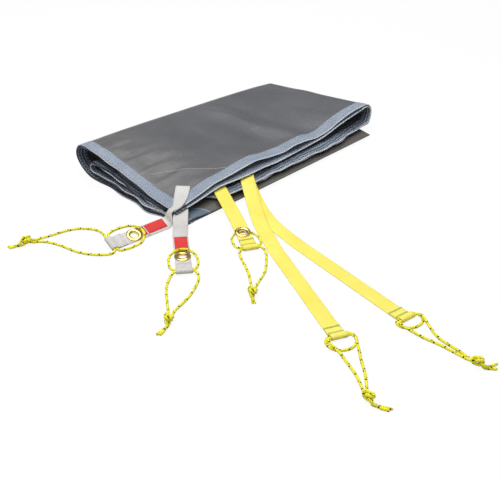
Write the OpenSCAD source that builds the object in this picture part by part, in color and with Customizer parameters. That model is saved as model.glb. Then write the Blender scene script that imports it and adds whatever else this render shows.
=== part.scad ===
// Folded tent groundsheet: hemmed sheet, five sewn webbing straps, brass grommets and guy-cord loops.
// Millimetres. +Z is up. The origin is the middle of the folded stack, on the surface it lies on.

/* [Ground sheet] */
// Length of the folded stack
fold_l = 375; // [350:5:400]
// Depth of the folded stack, from its front fold to its back bends
fold_w = 180; // [170:5:200]
// Thickness of the coated fabric
fabric_t = 0.4; // [0.3:0.05:0.5]
// How far the front hems sit behind the front fold
hem_inset = 16; // [10:1:24]
// How far the puffed fold at the right reaches past the flat fold below it
puff_reach = 14; // [6:1:20]

/* [Hem tape] */
// Width of the tape on each face of the sheet
tape_w = 17; // [12:1:22]
// Thickness of the tape
tape_t = 0.4; // [0.3:0.05:0.5]
// Room between the tape and the sheet that it is sewn to
sew_gap = 0.1; // [0.05:0.01:0.12]

/* [Webbing] */
// Width of every strap
web_w = 19; // [16:0.5:22]
// Thickness of the webbing
web_t = 1.2; // [0.9:0.1:1.4]
// Length of the fold that is sewn back along the strap
fold_back = 22; // [18:1:26]
// Room between two turns of cord in the folded end
turn_gap = 0.2; // [0.1:0.05:0.4]
// Room between the cord and the folded end around it
channel_gap = 0.3; // [0.2:0.05:0.5]
// Slit between a strap's sewn tail and its free end, where the strap bends
bend_slit = 0.3; // [0.2:0.05:0.5]
// Free length of the left corner strap
left_l = 84; // [84:1:104]
// Free length of the front corner strap
front_l = 85; // [84:1:110]
// Free length of the short yellow strap
short_l = 62; // [58:1:80]
// Free length of the middle yellow strap
middle_l = 182; // [160:1:200]
// Free length of the right yellow strap
right_l = 188; // [160:1:200]

/* [Red tabs] */
// Length of a red tab
tab_l = 33; // [24:1:36]
// Width of a red tab
tab_w = 16; // [12:0.5:18]
// Thickness of a red tab
tab_t = 0.8; // [0.5:0.1:1]

/* [Grommets] */
// Hole through a grommet
bore_d = 10; // [8:0.5:11]
// Outside of a grommet's flange
flange_d = 20; // [18:0.5:22]
// Thickness of the flange
flange_t = 1.3; // [1:0.1:1.6]
// Wall of the barrel through the webbing
barrel_wall = 0.6; // [0.4:0.05:0.8]
// Outside of the washer under the webbing
washer_d = 18; // [16:0.5:20]
// Thickness of the washer
washer_t = 0.8; // [0.6:0.1:1]
// Thickness of the lip that is rolled out under the washer
lip_t = 0.4; // [0.3:0.05:0.5]
// Distance from the strap's end to the middle of a grommet
grommet_at = 37; // [35:0.5:40]
// Room around the barrel, and between the metal and the webbing
metal_gap = 0.1; // [0.05:0.05:0.2]

/* [Cord] */
// Diameter of the guy cord
cord_d = 2.8; // [2.4:0.1:3]
// Diameter of a tied knot
knot_d = 9.6; // [8:0.2:11]
// Length of a tied knot
knot_l = 12; // [10:0.5:14]

/* [Stitching] */
// Width of a bar tack along the strap
tack_w = 1.2; // [0.8:0.1:1.6]
// Height of a bar tack above the webbing
tack_t = 0.3; // [0.2:0.05:0.4]
// Bar tacks on each strap
tacks = 2; // [2:1:3]

/* [Hidden] */
$fn = 48;

FABRIC = [0.42, 0.43, 0.44];
TAPE = [0.61, 0.66, 0.72];
GREY_WEB = [0.86, 0.84, 0.82];
YELLOW_WEB = [0.99, 0.94, 0.45];
RED = [0.91, 0.30, 0.28];
BRASS = [0.79, 0.70, 0.42];
GREEN_THREAD = [0.72, 0.82, 0.48];
GREY_THREAD = [0.80, 0.80, 0.82];
CORD = [0.95, 0.92, 0.15];

// Half of the hemmed edge's thickness, from the middle of the fabric to the outside of the tape
hem_half = fabric_t/2 + sew_gap + tape_t;
stack_mid_y = fold_w/2 + 10;

// Plain interpolation
function mix(a, b, t) = a*(1 - t) + b*t;
function half_turn(t) = (1 - cos(180*t))/2;
function unit(v) = v/norm(v);

// Drape of the eight layers. Each row gives heights at five places along the stack, from the hems at the
// left to the fold at the right. A and B are the two halves of the sheet, 1 is above and 2 is below the
// right-hand fold, and low marks the bottom half of the stack.
drape_x = [0, 0.2*fold_l, 0.48*fold_l, 0.75*fold_l, fold_l];
function row(heights, x) = lookup(x, [for (i = [0:4]) [drape_x[i], heights[i]]]);
top_front = [[[16.4, 26, 27, 22.5, 40], [8.9, 10.4, 9.6, 9.8, 11.2]],
             [[14.3, 18.6, 18.6, 19.6, 37.4], [10.5, 12.2, 11.4, 11.6, 13.4]]];
top_back = [[[45, 43.8, 40.6, 37.6, 33.5], [24, 22, 20, 19, 18.4]],
            [[42.7, 41.4, 38.3, 35.5, 31.6], [26, 24, 22, 21, 20.2]]];
low_nose = [[[0, 0, 0, 0, 0], [6.6, 5.8, 5.6, 5.6, 5.8]],
            [[2.4, 2.2, 2.1, 2.1, 2.1], [4.8, 4.3, 4.1, 4.1, 4.3]]];
low_front = [[[0, 0, 0, 0, 0], [7, 7, 7, 7.2, 7.4]],
             [[2.5, 2.5, 2.5, 2.5, 2.5], [5.2, 5.4, 5.4, 5.6, 5.8]]];
low_back = [[[0, 0, 0, 0, 0], [12, 11.6, 11.4, 11.2, 11]],
            [[3, 3, 3, 3, 3], [10, 9.8, 9.6, 9.5, 9.4]]];
nose_share = 0.1;

// The bottom layer lies flat on the surface and lifts only where its hem tape passes under it
lift_run = 40;
function bottom_z(x) =
  fabric_t/2 + (sew_gap + tape_t)*max(0, min(1, 1 - (x - tape_w)/lift_run));
function rise(x, p) = mix(half_turn(p), p, x/fold_l);
function top_z(s, e, x, p) = mix(row(top_front[s][e], x), row(top_back[s][e], x), rise(x, p));
function low_z(s, e, x, p) =
  s == 0 && e == 0 ? bottom_z(x)
  : p < nose_share ? mix(row(low_nose[s][e], x), row(low_front[s][e], x), p/nose_share)
  : mix(row(low_front[s][e], x), row(low_back[s][e], x), (p - nose_share)/(1 - nose_share));

// Height for turns t1 at the front fold, t2 at the right fold and t3 at the back bends
function z_half(s, e, x, p, w3) = mix(top_z(s, e, x, p), low_z(s, e, x, p), w3);
function z_side(s, x, p, w2, w3) = mix(z_half(s, 0, x, p, w3), z_half(s, 1, x, p, w3), w2);
function z_at(x, p, w1, w2, w3) = mix(z_side(0, x, p, w2, w3), z_side(1, x, p, w2, w3), w1);

// Where the layers start at the front and where they turn at the back
corner_run = 0.2*fold_l;
front_low = -2;
back_lean = 16;
back_ease = 0.5;
tongue_inset = 2;
corner_hem = 0.55;
under_hem = 0.6;
function hem_y(s, w2, x) =
  hem_inset*mix(corner_hem, 1, min(1, x/corner_run))*mix(1, under_hem, w2) + (s == 0 ? 2 : 0)*(1 - w2);
function front_y(w1, w2, w3, x) = mix(mix(hem_y(0, w2, x), hem_y(1, w2, x), w1), front_low + 2*w2, w3);
function back_y(w2, w3, x) = mix(mix(fold_w + back_lean*(1 - back_ease*pow(x/fold_l, 2)), fold_w, w3),
                                 fold_w - tongue_inset, w2);

// Reach of the bends past their start: back and front bends along Y, the right-hand fold along X
back_round = 1.25;
nose_round = 1.2;
function reach_back(x, w1, w2) = back_round*(z_at(x, 1, w1, w2, 0) - z_at(x, 1, w1, w2, 1))/2;
function reach_front(x, w2) = nose_round*abs(z_at(x, 0, 0, w2, 1) - z_at(x, 0, 1, w2, 1))/2;
function y_at(x, sv, w2) =
  let (w3 = half_turn(sv[1]), w1 = half_turn(sv[2]))
  mix(front_y(w1, w2, w3, x), back_y(w2, w3, x), sv[0]) + reach_back(x, w1, w2)*sin(180*sv[1])
  - reach_front(x, w2)*sin(180*sv[2]);
function yz_at(x, sv, w2) = [y_at(x, sv, w2), z_at(x, sv[0], half_turn(sv[2]), w2, half_turn(sv[1]))];
function reach_right(x, sv) = norm(yz_at(x, sv, 0) - yz_at(x, sv, 1))/2;

// The right-hand fold is fuller at its top than lower down. Its upper layers puff out toward the front and
// draw in toward the back, and the lower ones end a little short of it.
right_peak = 1.15;
right_sag = 0.6;
function bulge(t, w3) = sin(180*t)*mix(right_peak - right_sag*half_turn(t), 1, w3);
puff_from = 0.9*fold_l;
puff_lean = 25;
low_short = 3;
function puff(x, p, w3) =
  x > puff_from
  ? ((puff_reach - puff_lean*p)*(1 - w3) - low_short*w3)*(x - puff_from)/(fold_l - puff_from) : 0;
function sheet_point(su, sv) =
  let (x = su[0], yz = yz_at(x, sv, half_turn(su[1])))
  [x + puff(x, sv[0], half_turn(sv[1])) + reach_right(x, sv)*bulge(su[1], half_turn(sv[1])) - fold_l/2,
   yz[0] - stack_mid_y, yz[1]];

// Stations across the sheet (along the stack) and down it (front to back and round the bends)
hem_p = tape_w/fold_w;
u_run = [0, tape_w, tape_w + 1, 0.2*fold_l, 0.48*fold_l, 0.75*fold_l, 0.92*fold_l];
u_turn = [0, 0.25, 0.5, 0.75, 1];
u_stations = concat([for (x = u_run) [x, 0]], [for (t = u_turn) [fold_l, t]],
                    [for (i = [len(u_run) - 1:-1:0]) [u_run[i], 1]]);
v_run = [0, hem_p, 0.38, 0.68, 0.92];
v_low = [0.68, 0.38, nose_share];
v_back = [0, 0.2, 0.4, 0.6, 0.8, 1];
v_nose = [0, 0.33, 0.67, 1];
v_half = concat([for (p = v_run) [p, 0]], [for (t = v_back) [1, t]], [for (p = v_low) [p, 1]]);
v_stations = concat([for (v = v_half) [v[0], v[1], 0]], [for (t = v_nose) [0, 1, t]],
                    [for (i = [len(v_half) - 1:-1:0]) [v_half[i][0], v_half[i][1], 1]]);
nu = len(u_stations);
nv = len(v_stations);
grid = [for (su = u_stations) [for (sv = v_stations) sheet_point(su, sv)]];
function normal_at(i, j) =
  unit(cross(grid[min(i + 1, nu - 1)][j] - grid[max(i - 1, 0)][j],
             grid[i][min(j + 1, nv - 1)] - grid[i][max(j - 1, 0)]));
normals = [for (i = [0:nu - 1]) [for (j = [0:nv - 1]) normal_at(i, j)]];
function skin(i, j, h) = grid[i][j] + normals[i][j]*h;

// Two layers that face each other are cut into triangles along the same diagonals
function rising(stations, k) = stations[k + 1][0] >= stations[k][0];
function same_way(i, j) = rising(u_stations, i) == rising(v_stations, j);

// Closed solid from rows of points, each row one closed outline of the same count. Where turned has a
// row's number, every fourth side from there on is cut along its other diagonal.
module loft(rows, turned = [], cap = []) {
  n = len(rows[0]);
  m = len(rows);
  points = [for (r = rows) for (p = r) p];
  sides = [for (k = [0:m - 2]) for (i = [0:n - 1])
    let (a = k*n + i, b = k*n + (i + 1)%n, c = b + n, d = a + n)
    each i%4 == turned[k] ? [[a, b, d], [b, c, d]] : [[a, b, c], [a, c, d]]];
  ends = len(cap) > 0 ? cap : [[for (i = [0:n - 1]) i]];
  first = [for (e = ends) [for (i = [len(e) - 1:-1:0]) e[i]]];
  last = [for (e = ends) [for (i = e) (m - 1)*n + i]];
  polyhedron(points, concat(sides, first, last));
}

// Coated fabric, one closed skin over the whole grid
module ground_sheet() {
  h = fabric_t/2;
  under = nu*nv;
  function at(i, j) = i*nv + j;
  points = concat([for (i = [0:nu - 1]) for (j = [0:nv - 1]) skin(i, j, h)],
                  [for (i = [0:nu - 1]) for (j = [0:nv - 1]) skin(i, j, -h)]);
  faces = [for (i = [0:nu - 2]) for (j = [0:nv - 2])
    let (a = at(i, j), b = at(i + 1, j), c = at(i + 1, j + 1), d = at(i, j + 1),
         tris = same_way(i, j) ? [[a, c, b], [a, d, c]] : [[a, d, b], [b, d, c]])
    for (t = tris) each [t, [under + t[0], under + t[2], under + t[1]]]];
  rim_u = [for (j = [0:nv - 2])
    let (a = at(0, j), b = at(0, j + 1), c = at(nu - 1, j), d = at(nu - 1, j + 1))
    each [[a, under + b, b], [a, under + a, under + b], [c, d, under + d], [c, under + d, under + c]]];
  rim_v = [for (i = [0:nu - 2])
    let (a = at(i, 0), b = at(i + 1, 0), c = at(i, nv - 1), d = at(i + 1, nv - 1))
    each [[a, b, under + b], [a, under + b, under + a], [c, under + d, d], [c, under + c, under + d]]];
  color(FABRIC) polyhedron(points, concat(faces, rim_u, rim_v));
}

// Outline of the tape around one edge station, from the inner station to the edge and back
function tape_outline(edge, inner, ne, ni) =
  let (out = unit(edge - inner), a = fabric_t/2 + sew_gap, b = a + tape_t)
  [inner + ni*b, edge + ne*b + out*(sew_gap + tape_t), edge - ne*b + out*(sew_gap + tape_t), inner - ni*b,
   inner - ni*a, edge - ne*a + out*sew_gap, edge + ne*a + out*sew_gap, inner + ni*a];
tape_cap = [[0, 1, 6, 7], [1, 2, 5, 6], [2, 3, 4, 5]];
function u_outline(e, n, j) = tape_outline(grid[e][j], grid[n][j], normals[e][j], normals[n][j]);
function v_outline(e, n, i) = tape_outline(grid[i][e], grid[i][n], normals[i][e], normals[i][n]);
module left_hem_tape_top() color(TAPE)
  loft([for (j = [0:nv - 1]) u_outline(0, 1, j)], [for (j = [0:nv - 2]) same_way(0, j) ? 0 : 2],
       tape_cap);
module left_hem_tape_under() color(TAPE)
  loft([for (j = [nv - 1:-1:0]) u_outline(nu - 1, nu - 2, j)],
       [for (j = [nv - 2:-1:0]) same_way(nu - 2, j) ? 0 : 2], tape_cap);
module front_hem_tape_top() color(TAPE)
  loft([for (i = [nu - 3:-1:2]) v_outline(0, 1, i)], [for (i = [nu - 4:-1:2]) same_way(i, 0) ? 2 : 0],
       tape_cap);
module front_hem_tape_under() color(TAPE)
  loft([for (i = [2:nu - 3]) v_outline(nv - 1, nv - 2, i)],
       [for (i = [2:nu - 4]) same_way(i, nv - 2) ? 2 : 0], tape_cap);

// Folded strap end: two turns of cord lie side by side in it
cavity_h = cord_d + 2*channel_gap;
cavity_l = 2*cord_d + turn_gap + 2*channel_gap;
channel_h = cavity_h + 2*web_t;
channel_l = cavity_l + 2*web_t;
strand_z = channel_h/2;
loop_s = -(web_t + channel_gap + cord_d/2);
ring_s = loop_s - cord_d - turn_gap;

// Metal levels, from the underside of the webbing
flange_base = web_t + metal_gap;
washer_top = -metal_gap;
lip_low = washer_top - washer_t - lip_t;
barrel_r = bore_d/2 + barrel_wall;
lip_r = barrel_r + 1.4;
tab_end = grommet_at + flange_d/2 + 2;

// Places near the stack are given from its front corner on the ground
function from_corner(p) = p - [fold_l/2, stack_mid_y, 0];

// Each strap: where it bends at its sewn tail (underside of the webbing), its heading in plan, the height
// of its underside at the free end, its free length, how far it leans over on one edge, and the share of
// its width that is pinched in where the tail comes down
left = [from_corner([-13, 14.2, 4.8]), 173, 3.8, left_l, -20, 0.55];
front = [from_corner([-18, -17, -lip_low]), 231.7, -lip_low, front_l, 0, 0];
short = [from_corner([49.5, -48, 7]), 241, 0, short_l, 0, 0];
middle = [from_corner([40.8, -121.3, 0]), 244.3, 0, middle_l, 0, 0];
right = [from_corner([69.4, -131.8, 0]), 260.2, 0, right_l, 0, 0];
function heading(st) = st[1];
function strap_l(st) = st[3];
function pitch(st) = asin((st[0][2] - st[2])/st[3]);
function swing(h, p) = [p[0]*cos(h) - p[1]*sin(h), p[0]*sin(h) + p[1]*cos(h), p[2]];
function dip(a, p) = [p[0]*cos(a) + p[2]*sin(a), p[1], -p[0]*sin(a) + p[2]*cos(a)];
function lean(st) = st[4];
function pinch(st) = st[5];
function tip(r, p) = [p[0], p[1]*cos(r) - p[2]*sin(r), p[1]*sin(r) + p[2]*cos(r)];

// A point given along, across and above a strap, from the middle of its free end
function on_strap(st, p) =
  st[0] + swing(heading(st), dip(pitch(st), tip(lean(st), p + [strap_l(st), 0, 0])));
// A point given along and across from the same place, but with its height above the ground
function on_ground(st, p) =
  let (e = on_strap(st, [0, 0, 0]), q = swing(heading(st), p)) [e[0] + q[0], e[1] + q[1], p[2]];
module at_strap(st)
  translate(st[0]) rotate([lean(st), pitch(st), heading(st)]) translate([strap_l(st), 0, 0]) children();

// Smooth route through points
function bend(a, b, c, d, t) =
  (2*b + (c - a)*t + (2*a - 5*b + 4*c - d)*t*t + (3*b - a - 3*c + d)*t*t*t)/2;
function smooth(pts, k) =
  let (n = len(pts))
  concat([for (i = [0:n - 2]) for (j = [0:k - 1])
    bend(pts[max(i - 1, 0)], pts[i], pts[i + 1], pts[min(i + 2, n - 1)], j/k)], [pts[n - 1]]);
function along(pts, i) = unit(pts[min(i + 1, len(pts) - 1)] - pts[max(i - 1, 0)]);
function across(t) = unit([-t[1], t[0], 0]);

function above(pts, low) = [for (p = pts) [p[0], p[1], max(p[2], low)]];

// Flat webbing along a route. It is level across its width, may be pinched in on its way, and leans over
// toward its end, where it is square to a given way.
lean_late = 4;
pinch_at = 0.71;
pinch_run = 0.13;
function pinched(share, t) = 1 - share*exp(-pow((t - pinch_at)/pinch_run, 2));
module ribbon(route, way, turn, share, k) {
  pts = above(smooth(route, k), web_t/2);
  last = len(pts) - 1;
  loft([for (i = [0:last])
    let (t = i == last ? way : along(pts, i), a = turn*pow(i/last, lean_late),
         c = across(t)*cos(a) + [0, 0, sin(a)], u = unit(cross(t, c))*web_t/2,
         s = c*web_w/2*pinched(share, i/last))
    [pts[i] + s + u, pts[i] + s - u, pts[i] - s - u, pts[i] - s + u]]);
}

// Round cord along a route
cord_sides = 8;
module cord(route, k) {
  pts = above(smooth(route, k), cord_d/2);
  loft([for (i = [0:len(pts) - 1])
    let (t = along(pts, i), s = across(t)*cord_d/2, u = cross(t, across(t))*cord_d/2)
    [for (a = [0:cord_sides - 1]) pts[i] + s*cos(360*a/cord_sides) - u*sin(360*a/cord_sides)]]);
}

// Sewn tails: points on the middle of the webbing, from the sewn end to the bend
left_sewn = [[41.5, 42.5, 24.5], [31, 33.3, 23.3], [20.5, 24, 21.6], [9.8, 14.9, 20], [3, 12.2, 19.6],
             [-3.5, 13, 18], [-7.4, 13.3, 13.2], [-8.9, 13.5, 9.2], [-10.6, 13.7, 6.3]];
front_sewn = [[24.5, 30, 14.9], [16.5, 20.4, 13.8], [9, 11.4, 12.7], [1.8, 3.9, 12.2], [-5.2, -3.6, 9],
              [-11.6, -10.5, 4]];
short_sewn = [[94.5, 42, 18.3], [87.5, 29, 17.1], [80.5, 15.5, 16.5], [70, -6, 13.6], [59.5, -28, 10.2]];
middle_sewn = [[149.5, 44, 18.6], [143, 33.4, 17.4], [135.6, 21, 16.9], [120, 1.6, 15.2],
               [103.2, -21.5, 10.4], [86.3, -45.6, 4.9], [69, -70.4, 3], [54.8, -96.3, 1.2]];
right_sewn = [[145.2, 40.3, 15.4], [139, 28.6, 14.9], [131.3, 15.3, 14.9], [116, -6.4, 12.4],
              [101.9, -34.3, 4.6], [89.8, -60.2, 1.4], [78.7, -93.1, 0.6]];
module sewn_tail(st, sewn)
  ribbon(concat([for (p = sewn) from_corner(p)], [on_strap(st, [-strap_l(st) - bend_slit, 0, web_t/2])]),
         on_strap(st, [1, 0, 0]) - on_strap(st, [0, 0, 0]), lean(st), pinch(st), 3);

module slot_bar(l, h) {
  for (s = [h/2, l - h/2])
    translate([-s - (channel_l - l)/2, 0, channel_h/2]) rotate([90, 0, 0])
      cylinder(d = h, h = l == channel_l ? web_w : web_w + 2, center = true);
  translate([-channel_l/2, 0, channel_h/2])
    cube([l - h, l == channel_l ? web_w : web_w + 2, h], center = true);
}

// Free end of a strap, with the fold that the cord runs through
module webbing_end(st, holed) {
  at_strap(st) difference() {
    union() {
      translate([-strap_l(st), -web_w/2, 0]) cube([strap_l(st) - channel_h/2, web_w, web_t]);
      translate([-fold_back, -web_w/2, web_t]) cube([fold_back - channel_l + web_t, web_w, web_t]);
      slot_bar(channel_l, channel_h);
    }
    slot_bar(cavity_l, cavity_h);
    if (holed)
      translate([-grommet_at, 0, -1]) cylinder(r = barrel_r + metal_gap, h = web_t + 2);
  }
}

// Red tab, sewn flat on the strap
module tab(st) color(RED) at_strap(st)
  translate([-tab_end - tab_l, -tab_w/2, web_t]) cube([tab_l, tab_w, tab_t]);

// Brass grommet: barrel, domed flange above and rolled lip below
module grommet(st) color(BRASS) at_strap(st) translate([-grommet_at, 0, 0])
  rotate_extrude() polygon([
    [bore_d/2, lip_low], [lip_r, lip_low], [lip_r, lip_low + lip_t], [barrel_r, lip_low + lip_t],
    [barrel_r, flange_base], [flange_d/2, flange_base], [flange_d/2, flange_base + flange_t/3],
    [flange_d/2 - flange_t, flange_base + flange_t], [bore_d/2, flange_base + flange_t]]);
module washer(st) color(BRASS) at_strap(st) translate([-grommet_at, 0, washer_top - washer_t])
  difference() {
    cylinder(d = washer_d, h = washer_t);
    translate([0, 0, -1]) cylinder(r = barrel_r + metal_gap, h = washer_t + 2);
  }

// Bar tacks across the sewn-back fold
tack_margin = 2;
module tack_rows(st) {
  first = channel_l + tack_margin;
  step = (fold_back - channel_l - 2*tack_margin)/(tacks - 1);
  at_strap(st) for (i = [0:tacks - 1])
    translate([-first - i*step, 0, 2*web_t + tack_t/2]) cube([tack_w, web_w - 2, tack_t], center = true);
}

// Cord turns through the folded end, straight from mouth to mouth
mouth = web_w/2;
mouth_run = [-mouth, -mouth/2, 0, mouth/2, mouth];
function strand(st, s) = [for (n = mouth_run) on_strap(st, [s, n, strand_z])];

// Rings around the grommets: points along, across and above the strap, on one side of it
over_tab = web_t + tab_t + 0.5 + cord_d/2;
ring_side = [[-6.7, 12.5, 2.8], [-8.9, 14.8, 2.7], [-13, 16.2, 2.5], [-21, 17.2, 2.2], [-30, 17, 2.2],
             [-39, 14.4, 2.8], [-46, 8.5, over_tab]];
ring_far = [-grommet_at - flange_d/2 - 0.6 - cord_d/2, 0, over_tab];
function flip(p) = [p[0], -p[1], p[2]];
module grommet_ring(st) color(CORD)
  cord(concat(strand(st, ring_s), [for (p = ring_side) on_strap(st, p)], [on_strap(st, ring_far)],
              [for (i = [len(ring_side) - 1:-1:1]) on_strap(st, flip(ring_side[i]))]), 2);

// Rings on the ground: points along and across from the strap's end, with their height
short_ring_route = [[-6.6, 12.5, 2.6], [-8.8, 14.7, 1.8], [-13, 16.3, 1.4], [-22, 17, 1.4], [-31, 16, 1.4],
                    [-39, 11.5, 1.4], [-43.6, 4, 1.4], [-43.6, -4, 1.4], [-39, -11.5, 1.4], [-31, -16, 1.4],
                    [-22, -17, 1.4], [-13, -16.3, 1.4], [-8.8, -14.7, 1.8]];
middle_ring_route = [[-5.5, 12.6, 2.1], [-3.8, 15.3, 1.5], [0, 16.9, 1.4], [6, 16, 1.4], [12.5, 12, 1.4],
                     [17, 5, 1.4], [18, -3, 1.4], [15.5, -11, 1.4], [9, -16, 1.4], [1, -17, 1.4],
                     [-3.8, -15.3, 1.5]];
right_ring_route = [[-5.5, 12.6, 2.1], [-3.8, 15.3, 1.5], [0, 16.6, 1.4], [5.5, 15, 1.4], [10, 10.5, 1.4],
                    [12.5, 4, 1.4], [12.5, -3, 1.4], [9.5, -10, 1.4], [4, -14.8, 1.4], [-3.8, -15.3, 1.5]];
module ground_ring(st, route) color(CORD)
  cord(concat(strand(st, ring_s), [for (p = route) on_ground(st, p)]), 2);

// Loops: the near leg from the knot to the strap, and the far leg back to the knot
left_legs = [[[66.1, -73.2, 2.4], [56.2, -70.4, 1.4], [41.3, -68.3, 1.4], [22.3, -66.8, 1.4],
              [5.6, -61.4, 1.4], [-6.8, -49.7, 1.6], [-10.2, -36.5, 3.4], [-7.8, -25.6, 6.6],
              [-5, -16.4, 9.6]],
             [[-1.6, 12.9, 2.6], [0.8, 14.8, 2], [4.2, 14.8, 1.5], [10.3, 11.4, 1.4], [19, 4.6, 1.4],
              [28.5, -6.5, 1.4], [35.8, -20.9, 1.4], [42.7, -42.3, 1.4], [53.7, -61.4, 1.4],
              [66.2, -69.8, 2.4]]];
front_legs = [[[77, -21.7, 2.4], [66, -22, 1.4], [46, -22.4, 1.4], [28, -22.4, 1.4], [13, -19.8, 1.4],
               [5, -17, 2.2], [0.2, -14.8, 3.3], [-2.1, -12.5, 4]],
              [[-2.1, 12.5, 4], [0.1, 14.7, 3.4], [4, 15.8, 2.4], [12, 15.2, 1.4], [27, 10, 1.4],
               [44, 2, 1.4], [58, -8, 1.4], [68, -15.4, 1.4], [77, -18.3, 2.4]]];
short_legs = [[[79, -22.9, 2.4], [66, -20.5, 1.4], [47, -17.5, 1.4], [29, -16.6, 1.4], [13, -16.8, 1.4],
               [4.5, -16.2, 1.8], [0.3, -14.7, 2.5], [-1.9, -12.5, 3]],
              [[-1.9, 12.5, 3], [0.3, 14.7, 2.5], [4.5, 15.7, 1.8], [13, 14.4, 1.4], [32, 8.5, 1.4],
               [48, 2, 1.4], [62, -8, 1.4], [71, -15.2, 1.4], [79, -19.5, 2.4]]];
middle_legs = [[[83.5, -12.7, 2.4], [67, -10.8, 1.4], [50, -9.2, 1.4], [36, -10, 2.4], [24, -11.5, 4.6],
                [13, -13, 4.6], [5, -14.6, 4.6], [0.1, -14.4, 4.2], [-2.1, -12.4, 3.3]],
               [[-2.1, 12.4, 3.3], [0.1, 14.4, 4.2], [5, 14.4, 4.6], [14, 11.8, 4.6], [24, 9, 4.6],
                [37, 5, 2.4], [53, 1, 1.4], [68, -4.6, 1.4], [83.5, -9.3, 2.4]]];
right_legs = [[[84, 2.4, 2.4], [61, -1.6, 1.4], [44, -5, 1.4], [28, -10, 2], [15, -14, 4.4], [6, -15.4, 4.6],
               [0.1, -14.5, 4.2], [-2.1, -12.4, 3.3]],
              [[-2.1, 12.4, 3.3], [0.1, 14.4, 4.2], [5, 14.2, 4.6], [12, 11.4, 4.6], [20, 7.8, 4.4],
               [34, 3.8, 2.2], [48, 2.8, 1.4], [66, 4.4, 1.4], [84, 5.8, 2.4]]];
module guy_loop(st, legs) color(CORD)
  cord(concat([for (p = legs[0]) on_ground(st, p)], strand(st, loop_s),
              [for (p = legs[1]) on_ground(st, p)]), 2);

// Overhand knots: place along and across, lie in plan, and the turn and length of the two tails
left_tie = [[72.1, -72.5], -9, [[3, 23], [-12, 22]]];
front_tie = [[83, -20.6], -12, [[-6, 26], [-20, 28]]];
short_tie = [[85, -22.2], -20, [[11, 21], [-12, 22]]];
middle_tie = [[89.5, -11.4], -3, [[32, 25], [17, 23]]];
right_tie = [[90, 4.6], 10, [[44, 22], [18, 23]]];
knot_wrap = 2;
knot_waist = 0.8;
tie_apart = 1.9;
tie_dip = 2.5;
module knot(st, tie) color(CORD) translate(on_ground(st, [tie[0][0], tie[0][1], 0]))
  rotate([0, 0, heading(st) + tie[1]]) {
    translate([0, 0, knot_d/2]) rotate([0, 90, 0]) rotate_extrude()
      polygon([[0, -knot_l/2], [knot_d/2 - knot_wrap, -knot_l/2], [knot_d/2, -knot_l/4],
               [knot_d/2 - knot_waist, 0], [knot_d/2, knot_l/4], [knot_d/2 - knot_wrap, knot_l/2],
               [0, knot_l/2]]);
    for (i = [0, 1])
      translate([0, tie_apart*(1 - 2*i), cord_d]) rotate([0, 90 + tie_dip, tie[2][i][0]])
        cylinder(d = cord_d, h = tie[2][i][1]);
  }

// Left corner strap
module left_strap_tail() color(GREY_WEB) sewn_tail(left, left_sewn);
module left_strap() color(GREY_WEB) webbing_end(left, true);
module left_tab() tab(left);
module left_grommet() grommet(left);
module left_washer() washer(left);
module left_tacks() color(GREY_THREAD) tack_rows(left);
module left_ring() grommet_ring(left);
module left_loop() guy_loop(left, left_legs);
module left_knot() knot(left, left_tie);

// Front corner strap
module front_strap_tail() color(GREY_WEB) sewn_tail(front, front_sewn);
module front_strap() color(GREY_WEB) webbing_end(front, true);
module front_tab() tab(front);
module front_grommet() grommet(front);
module front_washer() washer(front);
module front_tacks() color(GREY_THREAD) tack_rows(front);
module front_ring() grommet_ring(front);
module front_loop() guy_loop(front, front_legs);
module front_knot() knot(front, front_tie);

// Short yellow strap
module short_strap_tail() color(YELLOW_WEB) sewn_tail(short, short_sewn);
module short_strap() color(YELLOW_WEB) webbing_end(short, true);
module short_grommet() grommet(short);
module short_washer() washer(short);
module short_tacks() color(GREEN_THREAD) tack_rows(short);
module short_ring() ground_ring(short, short_ring_route);
module short_loop() guy_loop(short, short_legs);
module short_knot() knot(short, short_tie);

// Middle yellow strap
module middle_strap_tail() color(YELLOW_WEB) sewn_tail(middle, middle_sewn);
module middle_strap() color(YELLOW_WEB) webbing_end(middle, false);
module middle_tacks() color(GREEN_THREAD) tack_rows(middle);
module middle_ring() ground_ring(middle, middle_ring_route);
module middle_loop() guy_loop(middle, middle_legs);
module middle_knot() knot(middle, middle_tie);

// Right yellow strap
module right_strap_tail() color(YELLOW_WEB) sewn_tail(right, right_sewn);
module right_strap() color(YELLOW_WEB) webbing_end(right, false);
module right_tacks() color(GREEN_THREAD) tack_rows(right);
module right_ring() ground_ring(right, right_ring_route);
module right_loop() guy_loop(right, right_legs);
module right_knot() knot(right, right_tie);

ground_sheet();
left_hem_tape_top();
left_hem_tape_under();
front_hem_tape_top();
front_hem_tape_under();
left_strap_tail();
left_strap();
left_tab();
left_grommet();
left_washer();
left_tacks();
left_ring();
left_loop();
left_knot();
front_strap_tail();
front_strap();
front_tab();
front_grommet();
front_washer();
front_tacks();
front_ring();
front_loop();
front_knot();
short_strap_tail();
short_strap();
short_grommet();
short_washer();
short_tacks();
short_ring();
short_loop();
short_knot();
middle_strap_tail();
middle_strap();
middle_tacks();
middle_ring();
middle_loop();
middle_knot();
right_strap_tail();
right_strap();
right_tacks();
right_ring();
right_loop();
right_knot();
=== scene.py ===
"""Folded tent groundsheet with sewn webbing straps, brass grommets and knotted guy-cord loops."""

import math

import bmesh
import bpy
import numpy as np
from mathutils import Matrix


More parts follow.
